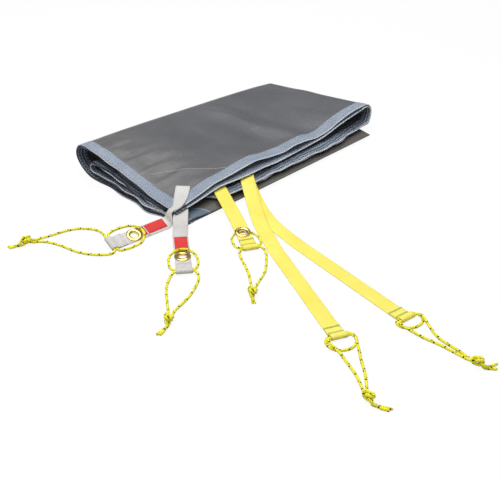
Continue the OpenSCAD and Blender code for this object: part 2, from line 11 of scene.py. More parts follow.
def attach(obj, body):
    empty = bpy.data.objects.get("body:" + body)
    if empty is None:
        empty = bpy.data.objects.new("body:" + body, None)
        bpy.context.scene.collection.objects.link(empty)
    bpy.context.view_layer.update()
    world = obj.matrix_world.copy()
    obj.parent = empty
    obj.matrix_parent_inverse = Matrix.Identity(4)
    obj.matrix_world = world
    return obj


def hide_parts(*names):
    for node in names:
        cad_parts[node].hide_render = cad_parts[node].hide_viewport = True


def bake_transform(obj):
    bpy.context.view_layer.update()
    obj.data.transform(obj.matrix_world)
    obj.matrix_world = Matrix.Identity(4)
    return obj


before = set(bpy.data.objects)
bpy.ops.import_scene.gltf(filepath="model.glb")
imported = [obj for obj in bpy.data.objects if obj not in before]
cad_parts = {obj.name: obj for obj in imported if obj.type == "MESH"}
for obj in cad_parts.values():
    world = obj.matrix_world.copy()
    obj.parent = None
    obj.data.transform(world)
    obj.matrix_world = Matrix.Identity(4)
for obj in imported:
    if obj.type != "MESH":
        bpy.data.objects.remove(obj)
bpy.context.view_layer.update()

# Sizes in millimetres, as in the part's source
FOLD_L = 375.0
FOLD_W = 180.0
MID_Y = FOLD_W / 2 + 10
FABRIC = 0.4
TAPE_W = 17.0
TAPE_T = 0.4
SEW_GAP = 0.1
WEB_W = 19.0
WEB_T = 1.2
CORD = 3.2
LIE_Z = 1.4
CORNER = np.array([-FOLD_L / 2, -MID_Y, 0.0])

# Runs of cloth in metres: from the front hem round to the front fold, the whole front hem, and past any end
NOSE_RUN = 0.4346
SPAN = 0.8143
FAR = 9.0

# Straps in grey webbing, and straps with a grommet
GREY = ("left", "front")
EYED = ("left", "front", "short")


def new_object(name, data):
    obj = bpy.data.objects.new(name, data)
    bpy.context.collection.objects.link(obj)
    return obj


# Camera at the photograph's viewpoint
cam = bpy.data.cameras.new("camera")
cam.lens = 61.2
cam.sensor_width = 36.0
cam.clip_start = 0.01
cam_obj = new_object("camera", cam)
cam_obj.location = (-0.7801, -0.7975, 0.546)
cam_obj.rotation_euler = (math.radians(57.5), 0, math.radians(-45.68))
bpy.context.scene.camera = cam_obj
bpy.context.scene.view_settings.view_transform = "Standard"


# Mesh helpers
def mesh_object(name, verts, faces, mats=(), uvs=None, face_mats=None):
    """Object from points in millimetres, with one uv pair per point."""
    mesh = bpy.data.meshes.new(name)
    pts = np.asarray(verts, dtype=float) / 1000
    mesh.from_pydata(pts.tolist(), [], faces)
    if uvs is not None:
        layer = mesh.uv_layers.new(name="run")
        uv = np.asarray(uvs, dtype=float)
        loops = np.zeros(len(mesh.loops), dtype=np.int64)
        mesh.loops.foreach_get("vertex_index", loops)
        layer.data.foreach_set("uv", uv[loops].astype(np.float32).ravel())
    if face_mats is not None:
        mesh.polygons.foreach_set("material_index", np.asarray(face_mats, dtype=np.int32))
    mesh.polygons.foreach_set("use_smooth", [True] * len(mesh.polygons))
    mesh.update()
    for mat in mats:
        mesh.materials.append(mat)
    return new_object(name, mesh)


def facing_out(obj):
    """Turns every face of a closed mesh outward."""
    bm = bmesh.new()
    bm.from_mesh(obj.data)
    bmesh.ops.recalc_face_normals(bm, faces=bm.faces)
    bm.to_mesh(obj.data)
    bm.free()
    obj.data.update()
    return obj


def tube_faces(count, m, sides=None):
    """Faces of count rings of m points, with end caps; sides is m - 1 where a uv seam repeats a point."""
    sides = sides or m
    faces = []
    for i in range(count - 1):
        for k in range(sides):
            a, b = i * m + k, i * m + (k + 1) % m
            faces.append((a, b, b + m, a + m))
    faces.append(tuple(range(sides - 1, -1, -1)))
    faces.append(tuple((count - 1) * m + k for k in range(sides)))
    return faces


def unit(v):
    v = np.asarray(v, dtype=float)
    return v / np.maximum(np.linalg.norm(v, axis=-1, keepdims=True), 1e-9)


def mix(a, b, t):
    return a * (1 - t) + b * t


def ease(d, run):
    """0 before the start of a run, 1 after its end, even between."""
    return np.clip(d / run, 0, 1)


def half_turn(t):
    return (1 - np.cos(np.pi * t)) / 2


def hump(d, width):
    return np.exp(-(d / width) ** 2)


def turned(degrees, axis=2):
    """Turn about an axis, in plan unless another is given."""
    q = math.radians(degrees)
    i, j = (axis + 1) % 3, (axis + 2) % 3
    out = np.eye(3)
    out[i, i] = out[j, j] = math.cos(q)
    out[j, i] = math.sin(q)
    out[i, j] = -math.sin(q)
    return out


def curve(knots, values):
    """Smooth curve through values, without overshoot."""
    xs = np.asarray(knots, dtype=float)
    ys = np.asarray(values, dtype=float)
    h = np.diff(xs)
    d = np.diff(ys) / h
    m = np.zeros_like(ys)
    same = d[:-1] * d[1:] > 0
    w1 = 2 * h[1:] + h[:-1]
    w2 = h[1:] + 2 * h[:-1]
    safe0 = np.where(same, d[:-1], 1)
    safe1 = np.where(same, d[1:], 1)
    m[1:-1] = np.where(same, (w1 + w2) / (w1 / safe0 + w2 / safe1), 0)
    m[0] = d[0]
    m[-1] = d[-1]

    def at(x):
        x = np.clip(x, xs[0], xs[-1])
        i = np.clip(np.searchsorted(xs, x) - 1, 0, len(h) - 1)
        t = (x - xs[i]) / h[i]
        a = (1 + 2 * t) * (1 - t) ** 2 * ys[i] + t * (1 - t) ** 2 * h[i] * m[i]
        return a + t * t * (3 - 2 * t) * ys[i + 1] + t * t * (t - 1) * h[i] * m[i + 1]

    return at


def run_length(line):
    return np.r_[0, np.cumsum(np.linalg.norm(np.diff(line, axis=0), axis=1))]


def even(line, n):
    """The same route in n points, evenly spaced."""
    s = run_length(line)
    at = np.linspace(0, s[-1], n)
    return np.stack([np.interp(at, s, line[:, k]) for k in range(3)], axis=1)


def resample(line, spacing):
    return even(line, max(int(round(run_length(line)[-1] / spacing)), 2) + 1)


def spline(points, spacing):
    """Catmull-Rom route through points, resampled at an even spacing."""
    p = np.asarray(points, dtype=float)
    p = np.vstack([2 * p[0] - p[1], p, 2 * p[-1] - p[-2]])
    steps = 16
    t = np.linspace(0, 1, steps, endpoint=False)[:, None]
    out = []
    for a, b, c, d in zip(p[:-3], p[1:-2], p[2:-1], p[3:]):
        out.append((2 * b + (c - a) * t + (2 * a - 5 * b + 4 * c - d) * t**2
                    + (3 * b - a - 3 * c + d) * t**3) / 2)
    return resample(np.vstack(out + [p[-2][None]]), spacing)


# Material helpers
def linear(r, g, b):
    """Linear colour from 8-bit screen values."""
    out = []
    for c in (r, g, b):
        c = c / 255
        out.append(c / 12.92 if c <= 0.04045 else ((c + 0.055) / 1.055) ** 2.4)
    return (*out, 1.0)


class Nodes:
    """Short way to build the node tree of a material or the world; lengths are in metres."""

    def __init__(self, owner):
        owner.use_nodes = True
        self.owner = owner
        self.tree = owner.node_tree

    def add(self, kind, inputs=None, **props):
        node = self.tree.nodes.new("ShaderNode" + kind)
        for k, v in props.items():
            setattr(node, k, v)
        for k, v in (inputs or {}).items():
            self.put(node.inputs[k], v)
        return node

    def put(self, socket, value):
        """Links a socket, or sets a value or a colour, which is three screen values."""
        if isinstance(value, bpy.types.NodeSocket):
            self.tree.links.new(value, socket)
        elif isinstance(value, tuple) and len(value) == 3:
            socket.default_value = linear(*value)
        else:
            socket.default_value = value

    def math(self, op, a, b=0.0, c=0.0):
        return self.add("Math", {0: a, 1: b, 2: c}, operation=op).outputs[0]

    def plus(self, a, b):
        return self.math("ADD", a, b)

    def times(self, a, b):
        return self.math("MULTIPLY", a, b)

    def most(self, a, b):
        return self.math("MAXIMUM", a, b)

    def away(self, value, middle):
        return self.math("ABSOLUTE", self.math("SUBTRACT", value, middle))

    def cell(self, value, period):
        """From 0 to 1 in each period."""
        return self.math("FRACT", self.math("DIVIDE", value, period))

    def wave(self, value, period):
        """Wave from 0 to 1."""
        return self.math("MULTIPLY_ADD", self.math("SINE", self.times(value, 2 * math.pi / period)), 0.5, 0.5)

    def band(self, value, middle, half):
        """1 inside a band, with a soft edge."""
        return self.fall(self.away(value, middle), half * 0.75, half * 1.15)

    def bands(self, value, middles, half):
        """1 inside any of several bands."""
        out = self.band(value, middles[0], half)
        for middle in middles[1:]:
            out = self.most(out, self.band(value, middle, half))
        return out

    def blend(self, fac, a, b):
        return self.add("Mix", {"Factor": fac, "A": a, "B": b}, data_type="RGBA").outputs["Result"]

    def tint(self, col, mask, share, other):
        """Some share of another colour where a mask is 1."""
        return self.blend(self.times(mask, share), col, other)

    def noise(self, vector, scale, detail=3.0, rough=0.5):
        inputs = {"Vector": vector, "Scale": scale, "Detail": detail, "Roughness": rough}
        return self.add("TexNoise", inputs).outputs["Fac"]

    def ramp(self, fac, low, high, to_low=0.0, to_high=1.0):
        return self.add("MapRange", {"Value": fac, "From Min": low, "From Max": high, "To Min": to_low,
                                     "To Max": to_high}).outputs[0]

    def fall(self, fac, low, high):
        return self.ramp(fac, low, high, 1.0, 0.0)

    def run(self):
        """Uv along and across."""
        parts = self.add("SeparateXYZ", {0: self.add("UVMap", uv_map="run").outputs[0]})
        return parts.outputs[0], parts.outputs[1]

    def place(self):
        return self.add("TexCoord").outputs["Object"]

    def bump(self, height, strength, distance, normal=None):
        node = self.add("Bump", {"Height": height, "Strength": strength, "Distance": distance})
        if normal is not None:
            self.put(node.inputs["Normal"], normal)
        return node.outputs[0]

    def set(self, **inputs):
        shader = self.tree.nodes["Principled BSDF"]
        for k, v in inputs.items():
            self.put(shader.inputs[k.replace("_", " ")], v)
        return self.owner


def new_material(name):
    return Nodes(bpy.data.materials.new(name))


def fabric_material(name, dark, light, tape_sheen, nose, rough):
    """Coated cloth, with a warm painted sheen by the left hem and a band about the front fold,
    lightened on the outer face as painted light; at its corner a tape patch is painted in shade,
    with a painted highlight at its rim.
    """
    n = new_material(name)
    along, across = n.run()
    spot = n.place()
    thread = 0.0009
    ripstop = 0.0052
    patch_l = 0.047
    patch_w = 0.036
    cloud = n.noise(spot, 14, 4, 0.55)
    crease = n.noise(spot, 75, 5, 0.62)
    col = n.blend(n.ramp(cloud, 0.3, 0.7), dark, light)
    # Painted sheen: lighter, warmer cloth by the left hem, where the crumples would catch the light
    sheen_by_tape = n.times(n.fall(along, 0.016, 0.105), n.ramp(n.noise(spot, 42, 4, 0.6), 0.35, 0.62))
    col = n.tint(col, sheen_by_tape, 0.75, tape_sheen)
    # Band about the front fold: on the outer face its colour is lightened as painted light, for a face that
    # lies in shade
    off = n.away(across, NOSE_RUN)
    col = n.blend(n.fall(off, 0.03, 0.09), col, nose)
    # Tape patch at the corner of the front fold, painted slate as shade, with a pale painted highlight along
    # its rim
    edge = n.math("MINIMUM", along, n.math("SUBTRACT", SPAN, along))
    reach = [n.math("POWER", n.math("DIVIDE", d, half), 2.0) for d, half in ((edge, patch_l), (off, patch_w))]
    reach = n.math("SQRT", n.plus(*reach))
    col = n.blend(n.fall(reach, 0.97, 1.0), col, (92, 105, 122))
    col = n.blend(n.band(reach, 0.93, 0.018), col, (150, 160, 172))
    weave = n.plus(n.wave(along, thread), n.wave(across, thread))
    squares = n.most(n.band(n.cell(along, ripstop), 0.5, 0.06), n.band(n.cell(across, ripstop), 0.5, 0.06))
    col = n.tint(col, squares, 0.10, light)
    b = n.bump(crease, 0.45, 0.0016)
    b = n.bump(weave, 0.10, 0.00012, b)
    b = n.bump(squares, 0.12, 0.0001, b)
    return n.set(Base_Color=col, Roughness=n.ramp(crease, 0.3, 0.7, rough - 0.06, rough + 0.08), Normal=b,
                 Specular_IOR_Level=0.45, Sheen_Weight=0.08, Sheen_Roughness=0.5)


def tape_material(name, lit, pale, turn=FAR):
    """Woven binding tape, light as far as lit, then painted slate shade where it turns in among the folds.

    Its edge has a pale rim of the given width as far as turn, a painted highlight where the layers' edges
    face the front; when turn is given, a band of painted shade lies just inside the rim.
    """
    n = new_material(name)
    along, across = n.run()
    spot = n.place()
    seams = (0.0030, 0.0138)
    stitch_run = 0.0046
    glint_rows = (0.0080, 0.0130, 0.0182)
    shade_under = 0.0018
    cloud = n.ramp(n.noise(spot, 40, 4), 0.3, 0.7)
    # Past lit the tape is painted slate, as shade among the folds
    inside = n.ramp(along, lit, lit + 0.012)
    col = n.blend(inside, n.blend(cloud, (142, 153, 169), (166, 177, 193)),
                  n.blend(cloud, (90, 102, 121), (120, 132, 150)))
    # Pale lines are painted highlights standing for layer edges, each with a line of painted shade just under
    # it
    drawn = n.add("CombineXYZ", {0: n.times(along, 24.0)}).outputs[0]
    drift = n.math("MULTIPLY_ADD", n.noise(drawn, 1.0, 3, 0.6), 0.013, across)
    glint = n.times(inside, n.bands(drift, glint_rows, 0.0006))
    dim = n.times(inside, n.bands(drift, [row + shade_under for row in glint_rows], 0.0014))
    col = n.tint(col, dim, 0.8, (46, 55, 72))
    col = n.tint(col, glint, 0.75, (196, 205, 218))
    twill = n.wave(n.plus(along, n.times(across, 0.6)), 0.0012)
    ribs = n.wave(across, 0.0011)
    col = n.tint(col, ribs, 0.22, (92, 102, 118))
    mottle = n.ramp(n.noise(spot, 380, 3, 0.6), 0.42, 0.62)
    col = n.tint(col, mottle, n.ramp(inside, 0.0, 1.0, 0.38, 0.1), (96, 107, 125))
    # Pale rim: painted highlight on the tape's edge; where turn is given, a band of painted shade lies inside
    # it
    rim = n.fall(across, 0.1 * pale, pale)
    first = n.ramp(along, turn - 0.004, turn + 0.004, 0.9, 0.0)
    if turn < FAR:
        col = n.blend(n.fall(across, pale, 2 * pale), col, (50, 58, 74))
    col = n.tint(col, rim, first, (230, 235, 241))
    # Darker lines along the sunken seams are painted shade
    seam_shade = n.bands(across, seams, 0.0008)
    stitch = n.times(n.bands(across, seams, 0.0006), n.band(n.cell(along, stitch_run), 0.5, 0.27))
    col = n.tint(col, seam_shade, 0.6, (84, 94, 110))
    col = n.tint(col, stitch, 0.8, (204, 210, 217))
    b = n.bump(n.plus(twill, ribs), 0.25, 0.0002)
    b = n.bump(n.noise(spot, 220, 3), 0.18, 0.0006, b)
    b = n.bump(n.math("SUBTRACT", glint, dim), 0.6, 0.0008, b)
    b = n.bump(stitch, 0.6, 0.0004, b)
    return n.set(Base_Color=col, Roughness=0.72, Normal=b, Specular_IOR_Level=0.35, Sheen_Weight=0.1)


def webbing_material(name, main, shade, edge, rough):
    """Ribbed webbing with darker edges."""
    n = new_material(name)
    along, across = n.run()
    spot = n.place()
    col = n.blend(n.ramp(n.noise(spot, 30, 4), 0.3, 0.7), shade, main)
    ribs = n.wave(across, 0.00135)
    picks = n.wave(n.plus(along, n.times(n.wave(across, 0.0027), 0.0004)), 0.0011)
    side = n.ramp(n.math("ABSOLUTE", across), 0.0081, 0.0093)
    col = n.tint(col, n.times(ribs, picks), 0.16, edge)
    col = n.tint(col, side, 0.30, edge)
    b = n.bump(n.plus(ribs, picks), 0.30, 0.00022)
    b = n.bump(n.noise(spot, 160, 3), 0.15, 0.0008, b)
    return n.set(Base_Color=col, Roughness=rough, Normal=b, Specular_IOR_Level=0.4, Sheen_Weight=0.12)


def plain_weave_material(name, main, shade):
    n = new_material(name)
    along, across = n.run()
    thread = 0.0010
    check = n.times(n.wave(along, thread), n.wave(across, thread))
    col = n.blend(n.ramp(n.noise(n.place(), 60, 4), 0.25, 0.75), shade, main)
    col = n.tint(col, check, 0.2, shade)
    return n.set(Base_Color=col, Roughness=0.62, Normal=n.bump(check, 0.35, 0.0002), Specular_IOR_Level=0.35,
                 Sheen_Weight=0.15)


def thread_material(name, main, shade):
    n = new_material(name)
    strand = n.noise(n.place(), 900, 2)
    return n.set(Base_Color=n.blend(strand, shade, main), Roughness=0.5, Normal=n.bump(strand, 0.4, 0.0002),
                 Sheen_Weight=0.2)


def brass_material():
    n = new_material("brass")
    spot = n.place()
    dull = n.noise(spot, 260, 4)
    fine = n.noise(spot, 2600, 2)
    col = n.blend(n.ramp(dull, 0.35, 0.7), (230, 205, 132), (200, 168, 92))
    return n.set(Base_Color=col, Metallic=1.0, Roughness=n.ramp(dull, 0.3, 0.75, 0.10, 0.24),
                 Normal=n.bump(fine, 0.05, 0.00008))


def cord_material():
    """Braided cord with two dark flecks, on opposite sides, in each run."""
    n = new_material("guy_cord")
    along, turn = n.run()
    fleck_run = 0.0128
    braid_run = 0.0024
    plaits = 16 * math.pi
    cell = n.cell(along, fleck_run)
    spin = n.math("FRACT", n.times(n.plus(turn, n.times(along, 9.0)), 2.0))
    other = n.math("FRACT", n.plus(spin, 0.5))
    first = n.times(n.band(cell, 0.34, 0.07), n.band(spin, 0.5, 0.25))
    second = n.times(n.band(cell, 0.56, 0.07), n.band(other, 0.5, 0.25))
    right, left = [n.math("SINE", n.math("MULTIPLY_ADD", along, 2 * math.pi / braid_run, n.times(turn, k)))
                   for k in (plaits, -plaits)]
    braid = n.ramp(n.times(right, left), -1, 1)
    col = n.tint((255, 250, 44), braid, 0.45, (232, 218, 20))
    col = n.blend(n.most(first, second), col, (46, 34, 20))
    return n.set(Base_Color=col, Roughness=0.55, Normal=n.bump(braid, 0.55, 0.00035), Sheen_Weight=0.1,
                 Specular_IOR_Level=0.4)


# Third colour: painted sheen by the left hem; fourth: the front fold's band, on the outer face lightened as
# painted light
FABRIC_OUT = fabric_material("coated_fabric_outer", (83, 84, 87), (96, 97, 101),
                             (119, 117, 114), (92, 90, 85), 0.40)
FABRIC_IN = fabric_material("coated_fabric_inner", (78, 88, 104), (100, 111, 127),
                            (116, 126, 140), (78, 88, 104), 0.52)
# Each tape is painted slate shade past its lit run, the left under tape all along; its pale rim is a painted
# highlight
TAPE_LEFT = tape_material("hem_tape_left", NOSE_RUN, 0.0007, NOSE_RUN)
TAPE_LEFT_UNDER = tape_material("hem_tape_left_under", -1.0, 0.0009, NOSE_RUN)
TAPE_FRONT = tape_material("hem_tape_front", 0.43, 0.0008)
TAPE_FRONT_UNDER = tape_material("hem_tape_front_under", 0.345, 0.0009)
GREY_WEB = webbing_material("grey_webbing", (219, 217, 214), (203, 200, 197), (180, 178, 178), 0.7)
YELLOW_WEB = webbing_material("yellow_webbing", (252, 240, 112), (246, 230, 92), (226, 206, 62), 0.55)
RED_TAB = plain_weave_material("red_tab", (229, 55, 48), (210, 40, 38))
BRASS = brass_material()
GREY_THREAD = thread_material("grey_thread", (214, 232, 232), (180, 204, 208))
PALE_THREAD = thread_material("pale_thread", (214, 208, 198), (184, 178, 168))
GREEN_THREAD = thread_material("green_thread", (196, 208, 104), (158, 182, 84))
GUY_CORD = cord_material()


# Drape of the sheet: heights of each layer along the stack, as in the part's source
KNOTS = [0.0, 0.2 * FOLD_L, 0.48 * FOLD_L, 0.75 * FOLD_L, FOLD_L]


def layers(*halves):
    """One curve for the outer and one for the inner layer of each half of the sheet."""
    return [[z and curve(KNOTS, z) for z in half] for half in halves]


TOP_FRONT = layers(([16.4, 26, 27, 22.5, 40], [8.9, 10.4, 9.6, 9.8, 11.2]),
                   ([14.3, 18.6, 18.6, 19.6, 37.4], [10.5, 12.2, 11.4, 11.6, 13.4]))
TOP_BACK = layers(([45, 43.8, 40.6, 37.6, 33.5], [24, 22, 20, 19, 18.4]),
                  ([42.7, 41.4, 38.3, 35.5, 31.6], [26, 24, 22, 21, 20.2]))
LOW_NOSE = layers((None, [6.2, 4.9, 4.6, 4.6, 4.7]), ([2.4, 2.2, 2.1, 2.1, 2.1], [4.6, 3.5, 3.2, 3.2, 3.3]))
LOW_FRONT = layers((None, [7, 7, 7, 7.2, 7.4]), ([2.5] * 5, [5.2, 5.4, 5.4, 5.6, 5.8]))
LOW_BACK = layers((None, [12, 11.6, 11.4, 11.2, 11]), ([3] * 5, [10, 9.8, 9.6, 9.5, 9.4]))
NOSE_SHARE = 0.1
FRONT_LOW = -2.0
HEM_SET = 16.0
PANEL = 178.0
BACK_LEAN = 16.0
PUFF_FROM = 0.9 * FOLD_L
PUFF_REACH = 14.0
PUFF_LEAN = 25.0
LOW_SHORT = 3.0

# Waves of the two upper front hems, seen in the photograph
HEM_A = curve([0, 24, 48, 75, 102, 130, 150, 179, 210, 231, 252, 279, 296, 330, 360, 375],
              [16.4, 20, 22.4, 26, 27.4, 29.8, 31, 27.2, 24.6, 27, 26.2, 23.2, 24.4, 33, 39.4, 40])
HEM_B = curve([0, 41, 64, 82, 119, 157, 194, 240, 281, 330, 375],
              [14.3, 16.8, 19.3, 21, 20.2, 20.4, 18.2, 18.4, 19.6, 28.4, 37.4])

# Places, from the front corner, of a long soft fold across the upper panel and a crease by its far corner
FOLD_LINE = ([31, 63, 95, 127, 168, 208], [262, 249, 236, 230, 220, 205])
END_CREASE = ([95, 147, 178, 205], [384, 368, 345, 300])

# Folds beside that line, as height, distance and half width, and ripples, as height, two lengths and start
FOLDS = [(2.3, 0, 12), (-2.0, 29, 15), (1.3, -62, 17), (-1.2, -30, 13), (1.2, 76, 20)]
RIPPLES = [(0.8, 23, 37, 0.6), (0.55, 15, -23, 0.0)]


def wrinkle(x, p):
    """Soft folds and creases of the upper panel, with a crumpled strip beside the left tape."""
    y = HEM_SET + PANEL * p
    inner = ease(p, 0.16) * ease(1 - p, 0.2)
    d = x - np.interp(y, *FOLD_LINE)
    folds = sum(high * hump(d - at, width) for high, at, width in FOLDS)
    folds = folds + sum(high * np.sin(x / a + y / b + start) for high, a, b, start in RIPPLES)
    crease = 1.1 * hump(x - np.interp(y, *END_CREASE), 7) * ease(y - 95, 40)
    by_tape = hump(np.maximum(x - 34, 0), 40) * ease(x - 12, 20)
    slant = y + 0.3 * x
    crumple = (0.85 * np.sin(slant / 4.14 + 0.5 * np.sin(x / 14)) + 0.5 * np.sin(slant / 2.3 - x / 9 + 1.4)
               + 0.55 * np.sin(slant / 7.1 + x / 17 + 2.2))
    calm = ease(FOLD_L - x, 55)
    return inner * (folds * calm + crease) + ease(p, 0.3) * inner * by_tape * crumple


def crinkle(x, p):
    """Small upward crinkles along the front of the inner layers, the same on both so that they nest."""
    y = PANEL * p
    slow = 0.5 + 0.5 * np.sin(x / 6.3 + y / 7 + 1.3 * np.sin(x / 27))
    quick = 0.5 + 0.5 * np.sin(x / 2.7 - y / 5 + 0.9 * np.sin(x / 13))
    ends = ease(x - 45, 30) * (0.4 + 0.6 * ease(FOLD_L - x, 40))
    return (0.9 * slow + 0.3 * quick) * ends * hump(p, 0.13)


# The layers, by half (s) and by outer or inner (e). x runs along the stack and p from its front to its back.
# w1, w2 and w3 say how far round the front, right and back folds a place lies; t1, t2 and t3 are their turns.
def top_z(s, e, x, p):
    z = mix(TOP_FRONT[s][e](x), TOP_BACK[s][e](x), mix(half_turn(p), p, x / FOLD_L))
    if e == 1:
        return z + crinkle(x, p)
    hem = HEM_A if s == 0 else HEM_B
    return z + (hem(x) - TOP_FRONT[s][0](x)) * hump(p, 0.24) + wrinkle(x, p)


def low_z(s, e, x, p):
    if s == 0 and e == 0:
        return FABRIC / 2 + (SEW_GAP + TAPE_T) * ease(TAPE_W + 40 - x, 40) + 0 * p
    front = LOW_FRONT[s][e](x)
    a = mix(LOW_NOSE[s][e](x), front, ease(p, NOSE_SHARE))
    b = mix(front, LOW_BACK[s][e](x), ease(p - NOSE_SHARE, 1 - NOSE_SHARE))
    return np.where(p < NOSE_SHARE, a, b)


def z_at(x, p, w1, w2, w3):
    def layer(s, e):
        return mix(top_z(s, e, x, p), low_z(s, e, x, p), w3)

    return mix(mix(layer(0, 0), layer(0, 1), w2), mix(layer(1, 0), layer(1, 1), w2), w1)


def hem_y(s, w2, x):
    """Set-back of the upper front hems: wide for the outer layers, with a sway and puckers for the inner."""
    outer = HEM_SET * mix(0.55, 1, ease(x, 75)) + (2 if s == 0 else -5 * hump(x - 150, 85))
    sway = 0.7 * np.sin(x / 13 + 2.1 * s) + 0.5 * np.sin(x / 6.7 + 1 + s) + 0.7 * np.sin(x / 31 + 2)
    pucker = 2.6 * np.sin(x / 3.2 + 2 * s) * hump(x - 76, 13)
    tucked = 33 * (1 - half_turn(ease(x - 48, 28))) + 9 * ease(x - 310, 60)
    return mix(outer, 1.6 - 1.2 * s + tucked + ease(x, 40) * sway + pucker, w2)


def back_y(x):
    return FOLD_W + BACK_LEAN * (1 - 0.5 * (x / FOLD_L) ** 2)


def y_at(x, p, t1, t3, w2):
    w1 = half_turn(t1)
    w3 = half_turn(t3)
    front_low = FRONT_LOW - w2 * (5 * ease(x - 15, 50) - 1)
    front = mix(mix(hem_y(0, w2, x), hem_y(1, w2, x), w1), front_low, w3)
    back = mix(mix(back_y(x), FOLD_W, w3), FOLD_W - 2, w2)
    one = np.ones_like(p)
    reach_back = 1.25 * (z_at(x, one, w1, w2, 0) - z_at(x, one, w1, w2, 1)) / 2
    reach_front = 1.2 * np.abs(z_at(x, 0 * p, 0, w2, 1) - z_at(x, 0 * p, 1, w2, 1)) / 2
    return mix(front, back, p) + reach_back * np.sin(np.pi * t3) - reach_front * np.sin(np.pi * t1)


def sheet_points(x, t2, p, t3, t1):
    """Places on the sheet's middle surface, with the right fold's bulge and the loose left edges."""
    w1, w2, w3 = half_turn(t1), half_turn(t2), half_turn(t3)
    y = y_at(x, p, t1, t3, w2)
    z = z_at(x, p, w1, w2, w3)
    gap = np.hypot(y_at(x, p, t1, t3, 0 * w2) - y_at(x, p, t1, t3, 0 * w2 + 1),
                   z_at(x, p, w1, 0, w3) - z_at(x, p, w1, 1, w3)) / 2
    reach = (PUFF_REACH - PUFF_LEAN * p) * (1 - w3) - LOW_SHORT * w3
    puff = np.where(x > PUFF_FROM, reach * (x - PUFF_FROM) / (FOLD_L - PUFF_FROM), 0)
    bulge = np.sin(np.pi * t2) * mix(1.15 - 0.6 * w2, 1, w3)
    wander = 0.8 * np.sin(11 * p + 2.3 * w1 + 1.1 * w2 + 1.9 * w3) + 0.5 * np.sin(29 * p + 4 * w1 + 2.7 * w2)
    flap = w3 * (9 - 3 * w1 - 2 * w2) * hump(p - 0.34, 0.11) + w3 * 3 * hump(p - 0.62, 0.1)
    edge = ease(60 - x, 60) ** 2 * (wander * ease(p - 0.1, 0.2) + flap)
    return np.stack(np.broadcast_arrays(x + puff + gap * bulge - edge - FOLD_L / 2, y - MID_Y, z), axis=-1)


def top_at(x, y):
    """Height of the uppermost layer over a place given from the front corner."""
    front = hem_y(0, 0, np.maximum(x, 0))
    return top_z(0, 0, np.maximum(x, 0), ease(y - front, back_y(x) - front))


# Stations: fine rows under the hem tape, even rows elsewhere
HEM_ROWS = [0, 1.5, 3, 4.5, 8.5, 12.5, 13.8, 15.2, TAPE_W]
PAST_TAPE = TAPE_W + 1.5
u_run = np.r_[HEM_ROWS, np.linspace(PAST_TAPE, 110, 31), np.linspace(114, 0.985 * FOLD_L, 76)]
turn = np.linspace(0, 1, 13)
u_x = np.r_[u_run, 0 * turn + FOLD_L, u_run[::-1]]
u_t = np.r_[0 * u_run, turn, 0 * u_run + 1]
v_run = np.r_[np.array(HEM_ROWS) / FOLD_W, np.linspace(PAST_TAPE / FOLD_W, 0.975, 46)]
back_turn = np.linspace(0, 1, 21)
v_low = np.linspace(0.96, 0.03, 30)
nose = np.linspace(0, 1, 9)
half_p = np.r_[v_run, 0 * back_turn + 1, v_low]
half_t = np.r_[0 * v_run, back_turn, 0 * v_low + 1]
v_p = np.r_[half_p, 0 * nose, half_p[::-1]]
v_t3 = np.r_[half_t, 0 * nose + 1, half_t[::-1]]
v_t1 = np.r_[0 * half_p, nose, 0 * half_p + 1]
grid = sheet_points(u_x[:, None], u_t[:, None], v_p[None, :], v_t3[None, :], v_t1[None, :])
NU, NV = grid.shape[:2]
normal = unit(np.cross(np.gradient(grid, axis=0), np.gradient(grid, axis=1)))
MID_ROW = 20
u_len = run_length(grid[:, MID_ROW])
v_len = run_length(grid[NU // 4])


def build_sheet():
    idx = np.arange(NU * NV).reshape(NU, NV)
    lift = normal * FABRIC / 2
    verts = np.vstack([(grid + lift).reshape(-1, 3), (grid - lift).reshape(-1, 3)])
    uv = np.stack(np.meshgrid(u_len, v_len, indexing="ij"), axis=-1).reshape(-1, 2) / 1000
    a, b, c, d = [q.ravel() for q in (idx[:-1, :-1], idx[1:, :-1], idx[1:, 1:], idx[:-1, 1:])]
    n = NU * NV
    outer = np.stack([a, b, c, d], axis=1)
    inner = np.stack([a, d, c, b], axis=1) + n
    rim = []
    for line, flip in ((idx[0], 1), (idx[-1], 0), (idx[:, 0], 0), (idx[:, -1], 1)):
        for p, q in zip(line[:-1], line[1:]):
            rim.append((p, q, q + n, p + n) if flip else (q, p, p + n, q + n))
    faces = np.vstack([outer, inner, np.array(rim)]).tolist()
    sides = np.r_[np.zeros(len(outer)), np.ones(len(inner)), np.zeros(len(rim))]
    return mesh_object("folded_sheet", verts, faces, (FABRIC_OUT, FABRIC_IN), np.vstack([uv, uv]), sides)


# Hem tape: rows where stitches sink in, the rounded edge as lift and reach, and the run to the right fold
STITCH_ROWS = (2, 6)
STITCH_DENT = 0.16
TAPE_EDGE = ((0.62, 0.38), (0.0, 0.6), (-0.62, 0.38))
EDGE_RUN = 0.6
RIGHT_FOLD = 415.0


